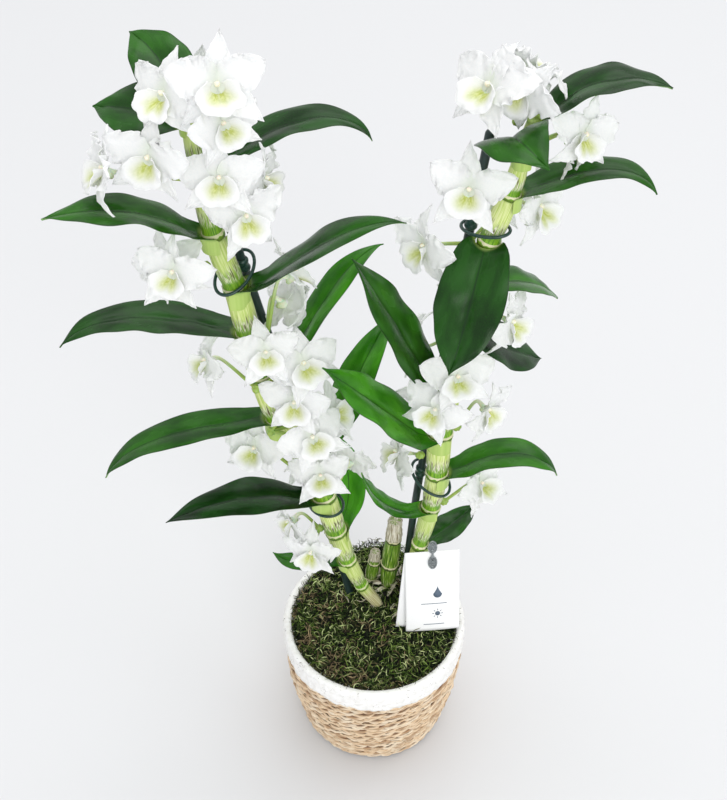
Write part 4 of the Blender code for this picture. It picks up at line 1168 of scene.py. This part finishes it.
def on_card(across, rise, proud):
    """A place on the face of the card's bowed front leaf."""
    share = rise / CARD_HEIGHT
    bow = 0.0005 - 0.0044 * (across / CARD_WIDTH) ** 2 + 0.0006 * np.sin(math.pi * share)
    lift = bow * (1 - share ** 6) + proud
    return (CARD_FOOT + across[..., None] * CARD_ACROSS + rise[..., None] * CARD_UP
            + lift[..., None] * CARD_FORWARD)


def make_card(look, ink):
    """The folded card, its leaves a little bowed, with a plain drop, a sun and two rules."""
    piece = Piece()
    u = np.linspace(-0.5, 0.5, 25)
    front = np.linspace(0, 1, 31)[:, None]
    face = on_card(CARD_WIDTH * u + 0 * front, CARD_HEIGHT * front + 0 * u, 0)
    slide = (0.005 * CARD_BEHIND - 0.008 * CARD_ACROSS) * (1 - front)[..., None]
    rear = CARD_FOOT + CARD_WIDTH * u[:, None] * CARD_ACROSS + CARD_HEIGHT * front[..., None] * CARD_UP
    rear = rear + slide - 0.0007 * CARD_FORWARD
    step = np.linspace(0, math.pi, 7)[1:-1, None, None]
    crease = face[-1] + 0.00045 * np.sin(step) * CARD_UP - 0.00035 * (1 - np.cos(step)) * CARD_FORWARD
    sheet = np.concatenate([face, crease, rear[::-1]])
    grain = (CARD_WIDTH * u, np.linspace(0, 0.15, len(sheet))[:, None], 0)
    piece.shell(sheet, 0.00032, (0, 0, 0), grain)

    def mark(outline, centre):
        """A thin printed shape, a hair proud of the card's face."""
        points = outline + centre
        place = on_card(points[:, 0], points[:, 1], 0.00024)
        piece.plain_tube(np.stack([place - 0.00012 * CARD_FORWARD, place]), 1)

    turn = full_turn(40)
    side, rise = np.cos(turn), np.sin(turn)
    above = np.clip(rise, 0, 1)
    pinch = np.clip(1 - above ** 0.8, 0.02, 1)
    mark(np.stack([0.0036 * side * pinch, 0.0038 * rise + 0.0035 * above], -1), DROP_PLACE)
    ray = np.array([(0.0030, -0.0003), (0.0044, -0.0003), (0.0044, 0.0003), (0.0030, 0.0003)])
    for angle in np.radians(np.arange(0, 360, 45)):
        c, s = math.cos(angle), math.sin(angle)
        mark(ray @ ((c, s), (-s, c)), SUN_PLACE)
    mark(0.0021 * np.stack([side, rise], -1), SUN_PLACE)
    for level, wide in ((0.0262, 0.0105), (0.0062, 0.0085)):
        across, rise = np.meshgrid(0.001 + wide * np.linspace(-1, 1, 21), level + np.array([-0.0003, 0.0003]))
        piece.shell(on_card(across, rise, 0.00022), 0.00008, (0, 0, 0), (across, rise, 0), 1)
    piece.build("care_card_sheet", [look, ink], ["care_card"], "card")


def make_card_clip(look):
    """Two ribbed oval paddles of bent wire, one over the crease and one on the card's face."""
    piece = Piece()
    foot = CARD_FOOT + 0.0016 * CARD_FORWARD
    for rise in (0.0055, -0.0088):
        middle = foot + (CARD_HEIGHT + rise) * CARD_UP
        for ring in (1.0, 0.62, 0.26):
            across, up = 0.0031 * ring * CARD_ACROSS, 0.0052 * ring * CARD_UP
            piece.plain_tube(wire_loop(middle, across, up, CARD_FORWARD, 0.0007, 49, 10), caps=False)
    stem = foot + (CARD_HEIGHT + np.linspace(-0.006, 0.004, 6)[:, None]) * CARD_UP
    piece.plain_tube(rings_about(stem, 0.0009, 10, CARD_ACROSS))
    piece.build("card_clip_wire", [look], ["card_clip"], "card_clip")


# ---- litter at the foot of the canes -----------------------------------------------------
def make_scraps(look):
    """Dry curled scraps of sheath and root lying on the moss round the old canes."""
    rng = np.random.default_rng(12)
    piece = Piece()
    for number in range(SCRAPS):
        x, y = rng.normal(0.004, 0.016), rng.normal(0.020, 0.012)
        z = float(moss_height(x, y)) + 0.0012
        heading, bend = rng.uniform(0, 360), rng.normal(0, 70)
        length, width = rng.uniform(0.007, 0.018), rng.uniform(0.0006, 0.0018)
        t = np.linspace(0, 1, 12)
        ahead = direction(heading + bend * t, 24 * np.sin(6 * t + number) + rng.uniform(-5, 25))
        path = np.array([x, y, z]) + np.cumsum(ahead * length / 12, axis=0)
        level = direction(heading + bend * t + 90, rng.uniform(-30, 30) + 60 * t)
        u = np.linspace(-1, 1, 5)[None, :, None]
        taper = (np.sin(math.pi * np.clip(t, 0.06, 0.94)) ** 0.5)[:, None, None]
        up = np.cross(ahead, level)[:, None]
        sheet = path[:, None] + width * u * taper * level[:, None] + 0.5 * width * u * u * up
        grain = (width * u[..., 0] + number * 0.05, 0, t[:, None] * length)
        piece.shell(sheet, 0.0002, (t[:, None], 0, 0), grain)
    piece.build("dry_scraps", [look], [], "old_cane")


# ---- the whole ---------------------------------------------------------------------------
def keep_with(name, look):
    """A part of the frame that is already its own shape, in a better material."""
    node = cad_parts[name]
    node.data.materials.clear()
    node.data.materials.append(look)


def make_plant():
    """Every piece, in the order that shares out the random numbers."""
    paper, band = paper_sheath_look(), white_band_look()
    make_weave(seagrass_look())
    make_band(band)
    dark_fibre = solid_look("dark_fibre", (48, 38, 24), (92, 76, 50), 900, 0.8, 0.00005)
    straw = solid_look("loose_straw", (226, 196, 152), (252, 236, 208), 900, 0.6, 0.00005)
    make_fuzz(band, dark_fibre, straw)
    make_moss_bed(moss_bed_look())
    make_moss(moss_look())
    make_canes(cane_look())
    make_old_canes(old_joint_look(), paper)
    make_scraps(paper)
    make_stakes(solid_look("stake_coating", (22, 40, 40), (34, 56, 54), 500, 0.42, 0.0002, (1, 1, 0.2)))
    wire = solid_look("clip_enamel", (24, 52, 46), (38, 72, 64), 700, 0.32, 0.00005)
    for name, row in CLIPS.items():
        make_clip(name, row, wire)
    ink = solid_look("card_ink", (84, 100, 118), (98, 114, 132), 900, 0.6, 0.00002)
    make_card(solid_look("card_paper", (246, 247, 248), (251, 252, 252), 1200, 0.5, 0.00002), ink)
    steel = solid_look("clip_steel", (120, 126, 128), (160, 166, 168), 900, 0.38, 0.00004, metallic=0.8)
    make_card_clip(steel)

    leaf = leaf_look()
    wax = dict(subsurface_weight=0.2, subsurface_scale=0.002)
    column = solid_look("column_wax", (240, 232, 206), (250, 246, 232), 900, 0.4, 0.0001, **wax)
    looks = [petal_look(), column, stalk_look()]
    leaves = [(cane, number, row) for cane in LEAVES for number, row in enumerate(LEAVES[cane], 1)]
    for seed, (cane, number, row) in enumerate(leaves, 11):
        make_leaf(f"leaf_{cane}_{number}", cane, row, leaf, seed)
    clusters = [(cane, number, row) for cane in CLUSTERS for number, row in enumerate(CLUSTERS[cane], 1)]
    for seed, (cane, number, row) in enumerate(clusters, 300):
        make_cluster(f"flowers_{cane}_{number}", cane, row, looks, seed)
    keep_with("bark", solid_look("bark_chips", (70, 44, 26), (128, 86, 54), 160, 0.85, 0.001))
    keep_with("grow_pot", solid_look("pot_plastic", (28, 30, 30), (40, 42, 42), 700, 0.4, 0.0001))


def make_stage():
    """A pale floor, soft light from above and from the front, and the camera."""
    scene = bpy.context.scene
    scene.view_settings.view_transform = "Standard"
    disc = bpy.data.meshes.new("floor")
    rim = about_axis(FLOOR_RADIUS, full_turn(96), 0.0)
    disc.from_pydata(rim.tolist(), [], [list(range(len(rim)))])
    floor = bpy.data.objects.new("floor", disc)
    scene.collection.objects.link(floor)
    paper = Look("floor_paper", roughness=0.9, specular_ior_level=0.1)
    paper.set("Base Color", FLOOR_COLOUR)
    disc.materials.append(paper.material)

    world = bpy.data.worlds.new("studio")
    world.use_nodes = True
    sky = world.node_tree.nodes["Background"].inputs
    sky["Color"].default_value = (1.0, 1.0, 1.0, 1)
    sky["Strength"].default_value = WORLD_STRENGTH
    scene.world = world

    for name, place, aim, size, energy in LAMPS:
        data = bpy.data.lights.new(name, "AREA")
        data.shape = "SQUARE"
        data.size = size
        data.energy = energy
        lamp = bpy.data.objects.new(name, data)
        lamp.location = place
        lamp.rotation_euler = (Vector(aim) - Vector(place)).to_track_quat("-Z", "Y").to_euler()
        scene.collection.objects.link(lamp)

    data = bpy.data.cameras.new("camera")
    data.lens, data.sensor_width = CAMERA_LENS, CAMERA_SENSOR
    camera = bpy.data.objects.new("camera", data)
    camera.location = CAMERA_PLACE
    camera.rotation_euler = (math.radians(CAMERA_TILT), 0, 0)
    scene.collection.objects.link(camera)
    scene.camera = camera


make_plant()
make_stage()
